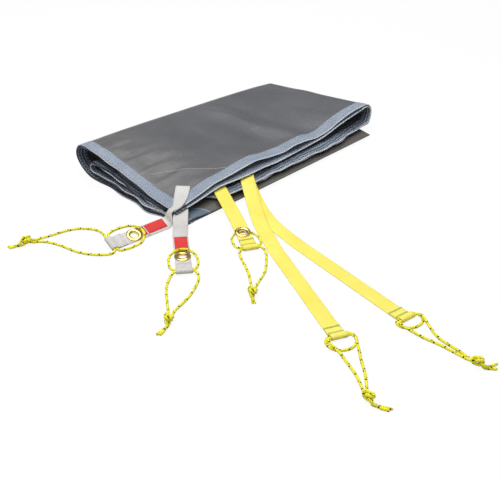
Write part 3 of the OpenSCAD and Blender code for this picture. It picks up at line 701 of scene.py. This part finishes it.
def build_tape(name, rows, normals, mat):
    """Binding tape over one edge; rows run inward from the edge, each along the edge."""
    count = rows.shape[1]
    last = len(rows) - 1
    along = run_length(rows[0])
    out = unit(rows[0] - rows[1])
    under = FABRIC / 2 + SEW_GAP
    full = under + TAPE_T
    pucker = 0.07 * np.sin(along / 1.35) + 0.05 * np.sin(along / 3.1 + 1)
    if name.startswith("front"):
        pucker = pucker + 0.75 * np.abs(np.sin(along / 2.6)) * hump(along - RIGHT_FOLD, 42)
    loop, across = [], []
    for side in (1, -1):
        for k in range(last, -1, -1) if side == 1 else range(last + 1):
            h = full - (STITCH_DENT if k in STITCH_ROWS else 0) + (pucker if 1 < k < last - 1 else 0 * pucker)
            loop.append(rows[k] + normals[k] * side * h[:, None])
            across.append(HEM_ROWS[k])
        if side == 1:
            for lift, reach in TAPE_EDGE:
                loop.append(rows[0] + normals[0] * lift * full + out * (SEW_GAP + reach))
                across.append(0.0 if lift == 0 else EDGE_RUN)
    for side in (-1, 1):
        for k in range(last, -1, -2) if side == -1 else range(0, last + 1, 2):
            loop.append(rows[k] + normals[k] * side * under + (out * SEW_GAP if k == 0 else 0))
            across.append(HEM_ROWS[k])
    m = len(loop)
    verts = np.asarray(loop).transpose(1, 0, 2).reshape(-1, 3)
    verts[:, 2] = np.maximum(verts[:, 2], 0)
    uv = np.stack([np.repeat(along, m), np.tile(across, count)], axis=1) / 1000
    return facing_out(mesh_object(name, verts, tube_faces(count, m), [mat], uv))


def hem_rows(field):
    """Rows of a field under each of the four tapes, from the edge inward."""
    h = len(HEM_ROWS)
    front = np.swapaxes(field[h:NU - h], 0, 1)
    return field[:h], field[::-1][:h], front[:h], front[::-1][:h]


sheet = build_sheet()
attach(sheet, "sheet")
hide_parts("ground_sheet")
TAPES = (("left_hem_tape_top", TAPE_LEFT), ("left_hem_tape_under", TAPE_LEFT_UNDER),
         ("front_hem_tape_top", TAPE_FRONT), ("front_hem_tape_under", TAPE_FRONT_UNDER))
for (name, mat), rows, norms in zip(TAPES, hem_rows(grid), hem_rows(normal)):
    tape = build_tape(name + "_binding", rows, norms, mat)
    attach(tape, "sheet")
    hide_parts(name)


# Straps: bend point, heading in plan, height of the underside at the end, free length, lean, pinch, sewn tail
STRAPS = {
    "left": ([-13, 14.2, 4.8], 173, 3.8, 84, -20, 0.55,
        [[41.5, 42.5, 24.5], [31, 33.3, 23.3], [20.5, 24, 21.6], [9.8, 14.9, 20], [3, 12.2, 19.6],
         [-3.5, 13, 18], [-7.4, 13.3, 13.2], [-8.9, 13.5, 9.2], [-10.6, 13.7, 6.3]]),
    "front": ([-18, -17, 1.3], 231.7, 1.3, 85, 0, 0,
        [[24.5, 30, 14.9], [16.5, 20.4, 13.8], [9, 11.4, 12.7], [1.8, 3.9, 12.2], [-5.2, -3.6, 9],
         [-11.6, -10.5, 4]]),
    "short": ([49.5, -48, 7], 241, 0, 62, 0, 0,
        [[94.5, 42, 18.3], [87.5, 29, 17.1], [80.5, 15.5, 16.5], [70, -6, 13.6], [59.5, -28, 10.2]]),
    "middle": ([40.8, -121.3, 0], 244.3, 0, 182, 0, 0,
        [[149.5, 44, 18.6], [143, 33.4, 17.4], [135.6, 21, 16.9], [120, 1.6, 15.2], [103.2, -21.5, 10.4],
         [86.3, -45.6, 4.9], [69, -70.4, 3], [54.8, -96.3, 1.2]]),
    "right": ([69.4, -131.8, 0], 260.2, 0, 188, 0, 0,
        [[145.2, 40.3, 15.4], [139, 28.6, 14.9], [131.3, 15.3, 14.9], [116, -6.4, 12.4],
         [101.9, -34.3, 4.6], [89.8, -60.2, 1.4], [78.7, -93.1, 0.6]]),
}


class Strap:
    """Places along one strap, measured back from its free end."""

    def __init__(self, name):
        hinge, heading, end, self.length, self.lean, self.pinch, tail = STRAPS[name]
        self.name = name
        self.hinge = np.array(hinge, dtype=float) + CORNER
        self.tail = np.array(tail, dtype=float) + CORNER
        dip = math.degrees(math.asin((hinge[2] - end) / self.length))
        self.plan = turned(heading)
        self.axes = self.plan @ turned(dip, 1) @ turned(self.lean, 0)

    def on(self, pts):
        p = np.atleast_2d(np.asarray(pts, dtype=float)) + [self.length, 0, 0]
        return p @ self.axes.T + self.hinge

    def ground(self, pts):
        """Places beyond the end, with heights from the ground; cord lies on it where none is given."""
        p = np.array([[*q, LIE_Z][:3] for q in pts], dtype=float)
        q = p @ self.plan.T + self.on([0, 0, 0])[0] * [1, 1, 0]
        q[:, 2] = p[:, 2]
        return q


# Webbing swept along its route, folded round the cord channel and back along itself
CHANNEL = [(-2.9, 0.6), (-1.75, 0.91), (-0.91, 1.75), (-0.6, 2.9), (-0.91, 4.05), (-1.75, 4.89), (-2.9, 5.2),
           (-4.4, 5.25), (-5.9, 5.15), (-7.3, 4.65), (-8.3, 3.7), (-9.0, 2.75), (-9.9, 2.05), (-11.0, 1.82),
           (-14.0, 1.82), (-18.0, 1.82), (-22.0, 1.82)]
WEB_TOP = [(-9.5, 0), (-9.3, 0.42), (-8.6, 0.6), (-4.3, 0.58), (0, 0.56), (4.3, 0.58), (8.6, 0.6),
           (9.3, 0.42)]
WEB_SECTION = WEB_TOP + [(-a, -h) for a, h in WEB_TOP]
GROMMET_AT = 37.0
HOLE_R = 5.8
HOLE_DEPTH = 6.0

# Gather of the left strap before its bend: distance, reach on its two sides, and shares of its two edges
GATHER_AT = 15.5
GATHER_REACH = (24, 6.5)
GATHER_SHARE = (1.6, 0.4)
LEAN_POWER = 14


def over_sheet(line):
    """Height at which webbing lies on the uppermost layer, and nothing off its edge."""
    q = line - CORNER
    tall = np.max([top_at(q[:, 0] + 0.62 * a, q[:, 1] - 0.78 * a) for a in (-9.5, -5, 0, 5, 9.5)], axis=0)
    tall = np.convolve(np.r_[[tall[0]] * 3, tall, [tall[-1]] * 3], np.ones(7) / 7, mode="valid")
    return np.where(q[:, 0] > 2, tall + FABRIC / 2 + SEW_GAP + TAPE_T + WEB_T / 2 + 0.2, 0)


def build_webbing(st, mat):
    straight = [[-s, 0, WEB_T / 2] for s in np.arange(st.length - 0.3, 4.5, -4)]
    line = spline(np.vstack([st.tail, st.on(straight)]), 1.6)
    fold = st.on([[s, 0, z] for s, z in CHANNEL])
    line[:, 2] = np.maximum(line[:, 2], WEB_T / 2)
    if st.name == "left":
        line[:, 2] = np.maximum(line[:, 2], over_sheet(line))
    line = np.vstack([line[:-1], fold])
    n = len(line)
    s = run_length(line)
    bend_s = s[np.argmin(np.linalg.norm(line - st.on([-st.length, 0, WEB_T / 2]), axis=1))]
    along = unit(np.gradient(line, axis=0))
    level = unit(np.stack([-along[:, 1], along[:, 0], 0 * along[:, 0]], axis=1))
    lean = math.radians(st.lean) * ease(s, bend_s) ** LEAN_POWER
    level = level * np.cos(lean)[:, None] + np.array([0, 0, 1.0]) * np.sin(lean)[:, None]
    folded = np.arange(n) >= n - len(fold)
    across = np.where(folded[:, None], st.axes[:, 1], level)
    up = unit(np.cross(along, across))
    before = bend_s - s - GATHER_AT
    pinch = st.pinch * hump(before, np.where(before > 0, *GATHER_REACH))
    m = len(WEB_SECTION)
    ring = np.zeros((n, m, 3))
    for k, (a, h) in enumerate(WEB_SECTION):
        wide = a * (1 - np.minimum(pinch * GATHER_SHARE[0 if a > 0 else 1], 0.9))
        ring[:, k] = line + across * wide[:, None] + up * h
    st.frames = (s, line, across, up)
    uv = np.stack([np.repeat(s, m), np.tile([a for a, h in WEB_SECTION], n)], axis=1) / 1000
    return facing_out(mesh_object(st.name + "_webbing", ring.reshape(-1, 3), tube_faces(n, m), [mat], uv))


def punch(obj, st):
    """Round hole for the grommet's barrel."""
    cut = bpy.data.meshes.new("punch")
    bm = bmesh.new()
    m = Matrix.Translation([float(c) / 1000 for c in st.on([-GROMMET_AT, 0, WEB_T / 2])[0]])
    m = m @ Matrix([list(r) for r in st.axes]).to_4x4()
    bmesh.ops.create_cone(bm, cap_ends=True, segments=40, radius1=HOLE_R / 1000, radius2=HOLE_R / 1000,
                          depth=HOLE_DEPTH / 1000, matrix=m)
    bm.to_mesh(cut)
    bm.free()
    tool = new_object("punch", cut)
    mod = obj.modifiers.new("hole", "BOOLEAN")
    mod.operation = "DIFFERENCE"
    mod.solver = "EXACT"
    mod.object = tool
    done = bpy.data.meshes.new_from_object(obj.evaluated_get(bpy.context.evaluated_depsgraph_get()))
    obj.modifiers.clear()
    obj.data = done
    bpy.data.objects.remove(tool)


# Stitches: small rounded grains of thread, each with its length, width and height
SEAM_GRAIN = (2.5, 1.15, 0.6)
TAIL_GRAIN = (1.7, 0.6, 0.4)
TAB_GRAIN = (1.8, 0.95, 0.62)
GREY_TACK = (3.0, 0.95, 0.34)
GREEN_TACK = (3.0, 0.95, 0.62)
TACK_ROWS = (-11.3, -20.6)
TACK_HALF = 8.7
TAIL_ROWS = (4.5, 14.0)
TAB_ROW = {"left": -53.5, "front": -80.6}
TAB_SEAM_HALF = 7.6
TAB_SEAM_Z = 2.12

# Corner seam across the upper panel, from the front corner
SEAM = [(19, 99), (28, 94), (41, 87), (59, 77), (70, 70), (87, 57), (104, 43), (112, 37)]
SEAM_PITCH = 3.1


def grains(name, body, places, size, mat, slot="grey_thread"):
    """Stitches carried by a body; places holds the centre of each, and its directions along and up."""
    rings, sides = 5, 8
    l, w, h = size
    verts, faces = [], []
    for c, a, u in places:
        a, u = unit(a), unit(u)
        b = np.cross(u, a)
        base = len(verts)
        for i in range(rings):
            t = -1 + 2 * (i + 0.5) / rings
            r = (1 - abs(t) ** 3) ** 0.5
            for k in range(sides):
                q = 2 * math.pi * k / sides
                verts.append(c + a * t * l / 2 + b * math.cos(q) * r * w / 2 + u * math.sin(q) * r * h / 2)
        faces += [[base + k for k in face] for face in tube_faces(rings, sides)]
    obj = mesh_object(name, verts, faces, [mat])
    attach(obj, body)
    return obj


def seam_places():
    route = resample(np.array([(x, y, 0.0) for x, y in SEAM]), SEAM_PITCH)
    route[:, 2] = top_at(route[:, 0], route[:, 1]) + FABRIC / 2 + 0.12
    return [(c + CORNER, way, (0, 0, 1)) for c, way in zip(route, unit(np.gradient(route, axis=0)))]


def tack_places(st, rows, height, half_w):
    """Rows of close stitches across a strap, leaning to either side by turns."""
    out = []
    for s in rows:
        for k, n in enumerate(np.linspace(-half_w, half_w, 25)):
            way = st.axes @ np.array([1, 0.16 if k % 2 else -0.16, 0])
            out.append((st.on([s, n, height])[0], way, st.axes[:, 2]))
    return out


def tail_places(st, rows):
    """Stitches across the sewn end of a strap."""
    s, line, across, up = st.frames
    out = []
    for at in rows:
        i = int(np.argmin(np.abs(s - at)))
        for a in np.linspace(-7.6, 7.6, 8):
            out.append((line[i] + across[i] * a + up[i] * 0.62, across[i], up[i]))
    return out


# Red tabs: folded tape with soft edges, sewn down at one end; half width and offset by strap
TAB_FROM, TAB_TO = -82.0, -49.0
TAB_WIDTH = {"left": (7.3, -1.2), "front": (8.0, 0.0)}
TAB_RISE = [0.0, 0.5, 0.75, 0.8, 0.8, 0.8, 0.75, 0.5, 0.0]


def build_tab(st):
    half, aside = TAB_WIDTH[st.name]
    rows = np.linspace(TAB_FROM, TAB_TO, 18)
    cols = [-half, -half + 0.3, -half + 1, -4, 0, 4, half - 1, half - 0.3, half]
    verts, uv = [], []
    for s in rows:
        full = min(1.0, 0.35 + min(s - TAB_FROM, TAB_TO - s) / 1.2)
        for c, h in zip(cols, TAB_RISE):
            wave = 0.12 * math.sin(s / 5.0 + c / 6.0) if h > 0 else 0
            verts.append((s, c + aside, WEB_T + 0.04 + (h + wave) * full))
        verts += [(s, c + aside, WEB_T + 0.02) for c in cols[::-1]]
        uv += [(s / 1000, c / 1000) for c in cols + cols[::-1]]
    faces = tube_faces(len(rows), 2 * len(cols))
    return facing_out(mesh_object(st.name + "_red_tab", st.on(verts), faces, [RED_TAB], uv))


# Brass grommet: barrel, rolled flange and lip, as radius and height, turned about its axis
GROMMET = [(5.0, -1.3), (7.0, -1.3), (7.0, -0.95), (5.6, -0.9), (5.6, 1.3), (9.75, 1.3), (10.0, 1.42),
           (10.0, 1.64), (9.8, 1.92), (9.3, 2.25), (8.5, 2.5), (7.6, 2.6), (6.7, 2.56), (5.9, 2.35),
           (5.35, 1.96), (5.06, 1.4), (5.0, 0.8)]


def build_grommet(st):
    sides = 64
    m = len(GROMMET)
    verts, faces = [], []
    for k in range(sides):
        q = 2 * math.pi * k / sides
        for i, (r, z) in enumerate(GROMMET):
            verts.append((-GROMMET_AT + r * math.cos(q), r * math.sin(q), z))
            a, b = k * m + i, k * m + (i + 1) % m
            after = (k + 1) % sides * m
            faces.append((a, after + i, after + (i + 1) % m, b))
    obj = facing_out(mesh_object(st.name + "_rolled_grommet", st.on(np.array(verts)), faces, [BRASS]))
    obj.data.set_sharp_from_angle(angle=math.radians(50))
    return obj


grains("corner_seam", "sheet", seam_places(), SEAM_GRAIN, PALE_THREAD)
straps = {name: Strap(name) for name in STRAPS}
for name, st in straps.items():
    body = name + "_end"
    grey = name in GREY
    web = build_webbing(st, GREY_WEB if grey else YELLOW_WEB)
    if name in EYED:
        punch(web, st)
    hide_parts(name + "_strap_tail", name + "_strap")
    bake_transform(web)
    if name == "left":
        grains("left_tail_seam", "sheet", tail_places(st, TAIL_ROWS), TAIL_GRAIN, GREY_THREAD)
    places = tack_places(st, TACK_ROWS, 2.45 if grey else 2.55, TACK_HALF)
    thread = (GREY_TACK, GREY_WEB, "grey_thread") if grey else (GREEN_TACK, GREEN_THREAD, "green_thread")
    tacks = grains(name + "_bar_tacks", body, places, *thread)
    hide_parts(name + "_tacks")
    if grey:
        red = build_tab(st)
        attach(red, body)
        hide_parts(name + "_tab")
        places = tack_places(st, (TAB_ROW[name],), TAB_SEAM_Z, TAB_SEAM_HALF)
        grains(name + "_tab_seam", body, places, TAB_GRAIN, GREY_THREAD)
    if name in EYED:
        ring = build_grommet(st)
        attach(ring, body)
        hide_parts(name + "_grommet")
        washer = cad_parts[name + "_washer"]
        washer.data.materials.clear()
        washer.data.materials.append(BRASS)


# Guy cords: a tube along each route, drawn in at a cut end
TUBE_SIDES = 12
TIP_TAPER = (0.92, 0.55)


def build_cord(name, *lines, cut_end=False):
    verts, faces, uv = [], [], []
    for line in lines:
        d = unit(np.gradient(line, axis=0))
        side = unit(np.cross(d[0], [0, 0, 1.0]))
        r = np.full(len(line), CORD / 2)
        if cut_end:
            r[-2:] *= TIP_TAPER
        ring_faces = tube_faces(len(line), TUBE_SIDES + 1, TUBE_SIDES)
        faces += [[len(verts) + k for k in face] for face in ring_faces]
        for i, s in enumerate(run_length(line)):
            side = unit(side - d[i] * (side @ d[i]))
            up = np.cross(d[i], side)
            for k in range(TUBE_SIDES + 1):
                q = 2 * math.pi * (k % TUBE_SIDES) / TUBE_SIDES
                verts.append(line[i] + (side * math.cos(q) + up * math.sin(q)) * r[i])
                uv.append((s / 1000, k / TUBE_SIDES))
    obj = mesh_object(name, verts, faces, [GUY_CORD], uv)
    return obj


# Routes of the rings and of the loops' two legs, as in the part's source
LOOP_S, RING_S, STRAND_Z = -2.9, -6.1, 2.9
MOUTH = WEB_W / 2
KEPT_RUN = MOUTH + 3
RING_SIDE = [[-6.7, 12.5, 2.8], [-8.9, 14.8, 2.7], [-13, 16.2, 2.5], [-21, 17.2, 2.2], [-30, 17, 2.2],
             [-39, 14.4, 2.8], [-46, 8.5, 3.9]]
RING_FAR = [-49.0, 0, 3.9]
GROUND_RINGS = {
    "short":
        [[-6.6, 12.5, 2.6], [-8.8, 14.7, 1.8], [-13, 16.3], [-22, 17], [-31, 16], [-39, 11.5], [-43.6, 4],
         [-43.6, -4], [-39, -11.5], [-31, -16], [-22, -17], [-13, -16.3], [-8.8, -14.7, 1.8]],
    "middle":
        [[-5.5, 12.6, 2.1], [-3.8, 15.3, 1.5], [0, 16.9], [6, 16], [12.5, 12], [17, 5], [18, -3],
         [15.5, -11], [9, -16], [1, -17], [-3.8, -15.3, 1.5]],
    "right":
        [[-5.5, 12.6, 2.1], [-3.8, 15.3, 1.5], [0, 16.6], [5.5, 15], [10, 10.5], [12.5, 4], [12.5, -3],
         [9.5, -10], [4, -14.8], [-3.8, -15.3, 1.5]],
}
LEGS = {
    "left": (
        [[-5, -16.4, 9.6], [-7.8, -25.6, 6.6], [-10.2, -36.5, 3.4], [-6.8, -49.7, 1.6], [5.6, -61.4],
         [22.3, -66.8], [41.3, -68.3], [56.2, -70.4]],
        [[-1.6, 12.9, 2.6], [0.8, 14.8, 2], [4.2, 14.8, 1.5], [10.3, 11.4], [19, 4.6], [28.5, -6.5],
         [35.8, -20.9], [42.7, -42.3], [53.7, -61.4]]),
    "front": (
        [[-2.1, -12.5, 4], [0.2, -14.8, 3.3], [5, -17, 2.2], [13, -19.8], [28, -22.4], [46, -22.4],
         [66, -22]],
        [[-2.1, 12.5, 4], [0.1, 14.7, 3.4], [4, 15.8, 2.4], [12, 15.2], [27, 10], [44, 2], [58, -8],
         [68, -15.4]]),
    "short": (
        [[-1.9, -12.5, 3], [0.3, -14.7, 2.5], [4.5, -16.2, 1.8], [13, -16.8], [29, -16.6], [47, -17.5],
         [66, -20.5]],
        [[-1.9, 12.5, 3], [0.3, 14.7, 2.5], [4.5, 15.7, 1.8], [13, 14.4], [32, 8.5], [48, 2], [62, -8],
         [71, -15.2]]),
    "middle": (
        [[-2.1, -12.4, 3.3], [0.1, -14.4, 4.2], [5, -14.6, 4.6], [13, -13, 4.6], [24, -11.5, 4.6],
         [36, -10, 2.4], [50, -9.2], [67, -10.8]],
        [[-2.1, 12.4, 3.3], [0.1, 14.4, 4.2], [5, 14.4, 4.6], [14, 11.8, 4.6], [24, 9, 4.6], [37, 5, 2.4],
         [53, 1], [68, -4.6]]),
    "right": (
        [[-2.1, -12.4, 3.3], [0.1, -14.5, 4.2], [6, -15.4, 4.6], [15, -14, 4.4], [28, -10, 2], [44, -5],
         [61, -1.6]],
        [[-2.1, 12.4, 3.3], [0.1, 14.4, 4.2], [5, 14.2, 4.6], [12, 11.4, 4.6], [20, 7.8, 4.4],
         [34, 3.8, 2.2], [48, 2.8], [66, 4.4]]),
}
# Knots: place along and across, lie in plan, and the turn and length of the two tails
TIES = {
    "left": ([71.6, -68.5], -9, [[-8.5, 22], [-8.5, 23]]),
    "front": ([86.8, -22.2], -12, [[-18, 23], [-18, 24]]),
    "short": ([88.2, -25], -20, [[21, 15.5], [-3, 16]]),
    "middle": ([91.6, -13.3], -3, [[37, 22.5], [37, 24]]),
    "right": ([91.2, 3.2], 10, [[54, 20], [18, 19]]),
}

# Overhand knot: half its run, its size each way, half the gap of its two strands, and how they ease apart
KNOT_RUN = 2.06
KNOT_SIZE = np.array([0.40, 1.55, -1.35])
PAIR_HALF = 1.35
KNOT_POINTS = 52
KNOT_ROUNDS = 140
KNOT_TOUCH = 0.97 * CORD
KNOT_PUSH = 0.22
KNOT_SMOOTH = 0.10
KNOT_SKEW = -31
TAIL_APART = 0.54 * CORD
CORD_STEP = 1.4
TIE_STEP = 1.1


def strand(st, s):
    """Cord inside the channel, from mouth to mouth."""
    return st.on([[s, n, STRAND_Z] for n in (-MOUTH, -MOUTH / 2, 0, MOUTH / 2, MOUTH)])


def overhand():
    """Two strands side by side in one overhand knot, pushed apart until they lie beside each other."""
    t = np.linspace(-KNOT_RUN, KNOT_RUN, 260)
    c = KNOT_SIZE * np.stack([t**5 - 10 * t, t**3 - 3 * t, t**4 - 4 * t**2 + 2], axis=1)
    side = np.array([0.0, 1.0, 0.0])
    off = []
    for d in unit(np.gradient(c, axis=0)):
        side = unit(side - d * (side @ d))
        off.append(side)
    off = np.array(off)
    n = KNOT_POINTS
    pts = np.vstack([even(c + off * w, n) for w in (PAIR_HALF, -PAIR_HALF)])
    idx = np.arange(2 * n)
    far = (np.abs(idx[:, None] - idx[None, :]) > 3) | (idx[:, None] // n != idx[None, :] // n)
    for _ in range(KNOT_ROUNDS):
        v = pts[:, None] - pts[None]
        l = np.sqrt((v * v).sum(axis=2)) + 1e-9
        push = np.where(far & (l < KNOT_TOUCH), (KNOT_TOUCH - l) / l * KNOT_PUSH, 0)
        pts = pts + (push[:, :, None] * v).sum(axis=1)
        for q in (pts[:n], pts[n:]):
            q[1:-1] += KNOT_SMOOTH * ((q[:-2] + q[2:]) / 2 - q[1:-1])
    strands = pts[:n], pts[n:]
    return strands[::-1] if pts[0, 1] > pts[n, 1] else strands


def soften(line, rounds, start=0.0, end=0.0):
    """Rounds off small kinks, with the given run at either end kept."""
    s = run_length(line)
    free = ease(s - start, 4) * ease(s[-1] - end - s, 4)
    for _ in range(rounds):
        line[1:-1] += 0.5 * free[1:-1, None] * ((line[:-2] + line[2:]) / 2 - line[1:-1])
    line[:, 2] = np.maximum(line[:, 2], CORD / 2)
    return line


def build_knot(st, strands):
    """Knot with its two tails, and the places where the legs enter it."""
    place, lie, tails = TIES[st.name]
    low = min(p[:, 2].min() for p in strands)
    bodies = [(p - [0, 0, low - CORD / 2]) @ turned(KNOT_SKEW).T for p in strands]
    lines = []
    for i, (body, (angle, reach)) in enumerate(zip(bodies, tails)):
        way, aside = turned(angle)[:, 0], turned(angle)[:, 1]
        sign = 1 if (body[-1] - bodies[1 - i][-1]) @ aside > 0 else -1
        tip = way * reach + aside * sign * TAIL_APART
        near = mix(body[-1], tip, 0.5)
        tip[2] = near[2] = CORD / 2
        line = soften(spline(np.vstack([body[:-1:2], body[-1:], near[None], tip[None]]), TIE_STEP), 3)
        lines.append(st.ground(line @ turned(lie).T + [*place, 0]))
    return build_cord(st.name + "_overhand_knot", *lines, cut_end=True), [line[[0, 2]] for line in lines]


knot_strands = overhand()
for name, st in straps.items():
    grey = name in GREY
    knot, entries = build_knot(st, knot_strands)
    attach(knot, name + "_cord")
    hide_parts(name + "_knot")
    through = strand(st, LOOP_S)
    near_leg = np.vstack([through[2::-1], st.ground(LEGS[name][0]), entries[0]])
    far_leg = np.vstack([through[2:], st.ground(LEGS[name][1]), entries[1]])
    for k, (route, mouth) in enumerate(((near_leg, through[0]), (far_leg, through[4]))):
        line = soften(spline(route, CORD_STEP), 14, KEPT_RUN)
        leg = build_cord("%s_loop_leg_%d" % (name, k + 1), line)
        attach(leg, name + "_cord")
        if k == 0:
            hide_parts(name + "_loop")
    turn_in = strand(st, RING_S)
    if grey:
        flip = [[a, -b, c] for a, b, c in RING_SIDE]
        outside = np.vstack([st.on(RING_SIDE), st.on(RING_FAR), st.on(flip[:0:-1])])
    else:
        outside = st.ground(GROUND_RINGS[name])
    line = soften(spline(np.vstack([turn_in[2:], outside, turn_in[:3]]), CORD_STEP), 10, KEPT_RUN, KEPT_RUN)
    ring = build_cord(name + "_cord_ring", line)
    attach(ring, name + "_ring_turn" if grey else name + "_end")
    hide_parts(name + "_ring")


# Floor and light; each lamp has its place, aim, size and power
WHITE = (1, 1, 1, 1)
FLOOR_HALF = 30000.0
FLOOR_Z = -0.0002
LAMPS = (("key", (-0.3, 0.0, 1.5), (0, -0.1, 0), 1.5, 21.0),
         ("rim", (0.7, 0.75, 1.75), (0, 0, 0), 0.5, 5.0))


def build_floor():
    """Pale floor that is seen as white, with the object's shadow."""
    n = new_material("floor")
    path = n.add("LightPath").outputs
    seen = n.most(path["Is Camera Ray"], n.most(path["Is Glossy Ray"], path["Is Transmission Ray"]))
    n.set(Base_Color=n.blend(seen, (0.6, 0.6, 0.6, 1), (0.96, 0.96, 0.96, 1)), Roughness=0.9,
          Specular_IOR_Level=0.0)
    own = n.tree.nodes["Principled BSDF"].outputs[0]
    glow = n.add("Emission", {"Color": WHITE, "Strength": 1.0}).outputs[0]
    both = n.add("MixShader", {0: n.times(seen, 0.93), 1: own, 2: glow})
    n.put(n.tree.nodes["Material Output"].inputs["Surface"], both.outputs[0])
    corners = [(a * FLOOR_HALF, b * FLOOR_HALF, 0) for a, b in ((-1, -1), (1, -1), (1, 1), (-1, 1))]
    floor = mesh_object("floor", corners, [(0, 1, 2, 3)], [n.owner])
    floor.location.z = FLOOR_Z


def build_world():
    """Sky, dim near the horizon and bright overhead, with a white backdrop where it is seen."""
    world = bpy.data.worlds.new("studio")
    bpy.context.scene.world = world
    n = Nodes(world)
    height = n.add("SeparateXYZ", {0: n.add("TexCoord").outputs["Generated"]}).outputs["Z"]
    sky = n.tree.nodes["Background"]
    n.put(sky.inputs["Color"], WHITE)
    n.put(sky.inputs["Strength"], n.ramp(height, 0.05, 0.9, 0.05, 0.5))
    white = n.add("Background", {"Color": WHITE, "Strength": 1.0}).outputs[0]
    path = n.add("LightPath").outputs
    mirrored = n.times(path["Is Glossy Ray"], n.fall(height, 0.03, 0.12))
    seen = n.most(n.most(path["Is Camera Ray"], path["Is Transmission Ray"]), mirrored)
    both = n.add("MixShader", {0: seen, 1: sky.outputs[0], 2: white})
    n.put(n.tree.nodes["World Output"].inputs["Surface"], both.outputs[0])


def build_lamps():
    for name, place, aim, size, watts in LAMPS:
        lamp = bpy.data.lights.new(name, "AREA")
        lamp.size = size
        lamp.energy = watts
        o = new_object(name, lamp)
        o.location = place
        d = np.array(place) - np.array(aim)
        o.rotation_euler = (math.atan2(math.hypot(d[0], d[1]), d[2]), 0, math.atan2(d[0], -d[1]))


build_floor()
build_world()
build_lamps()
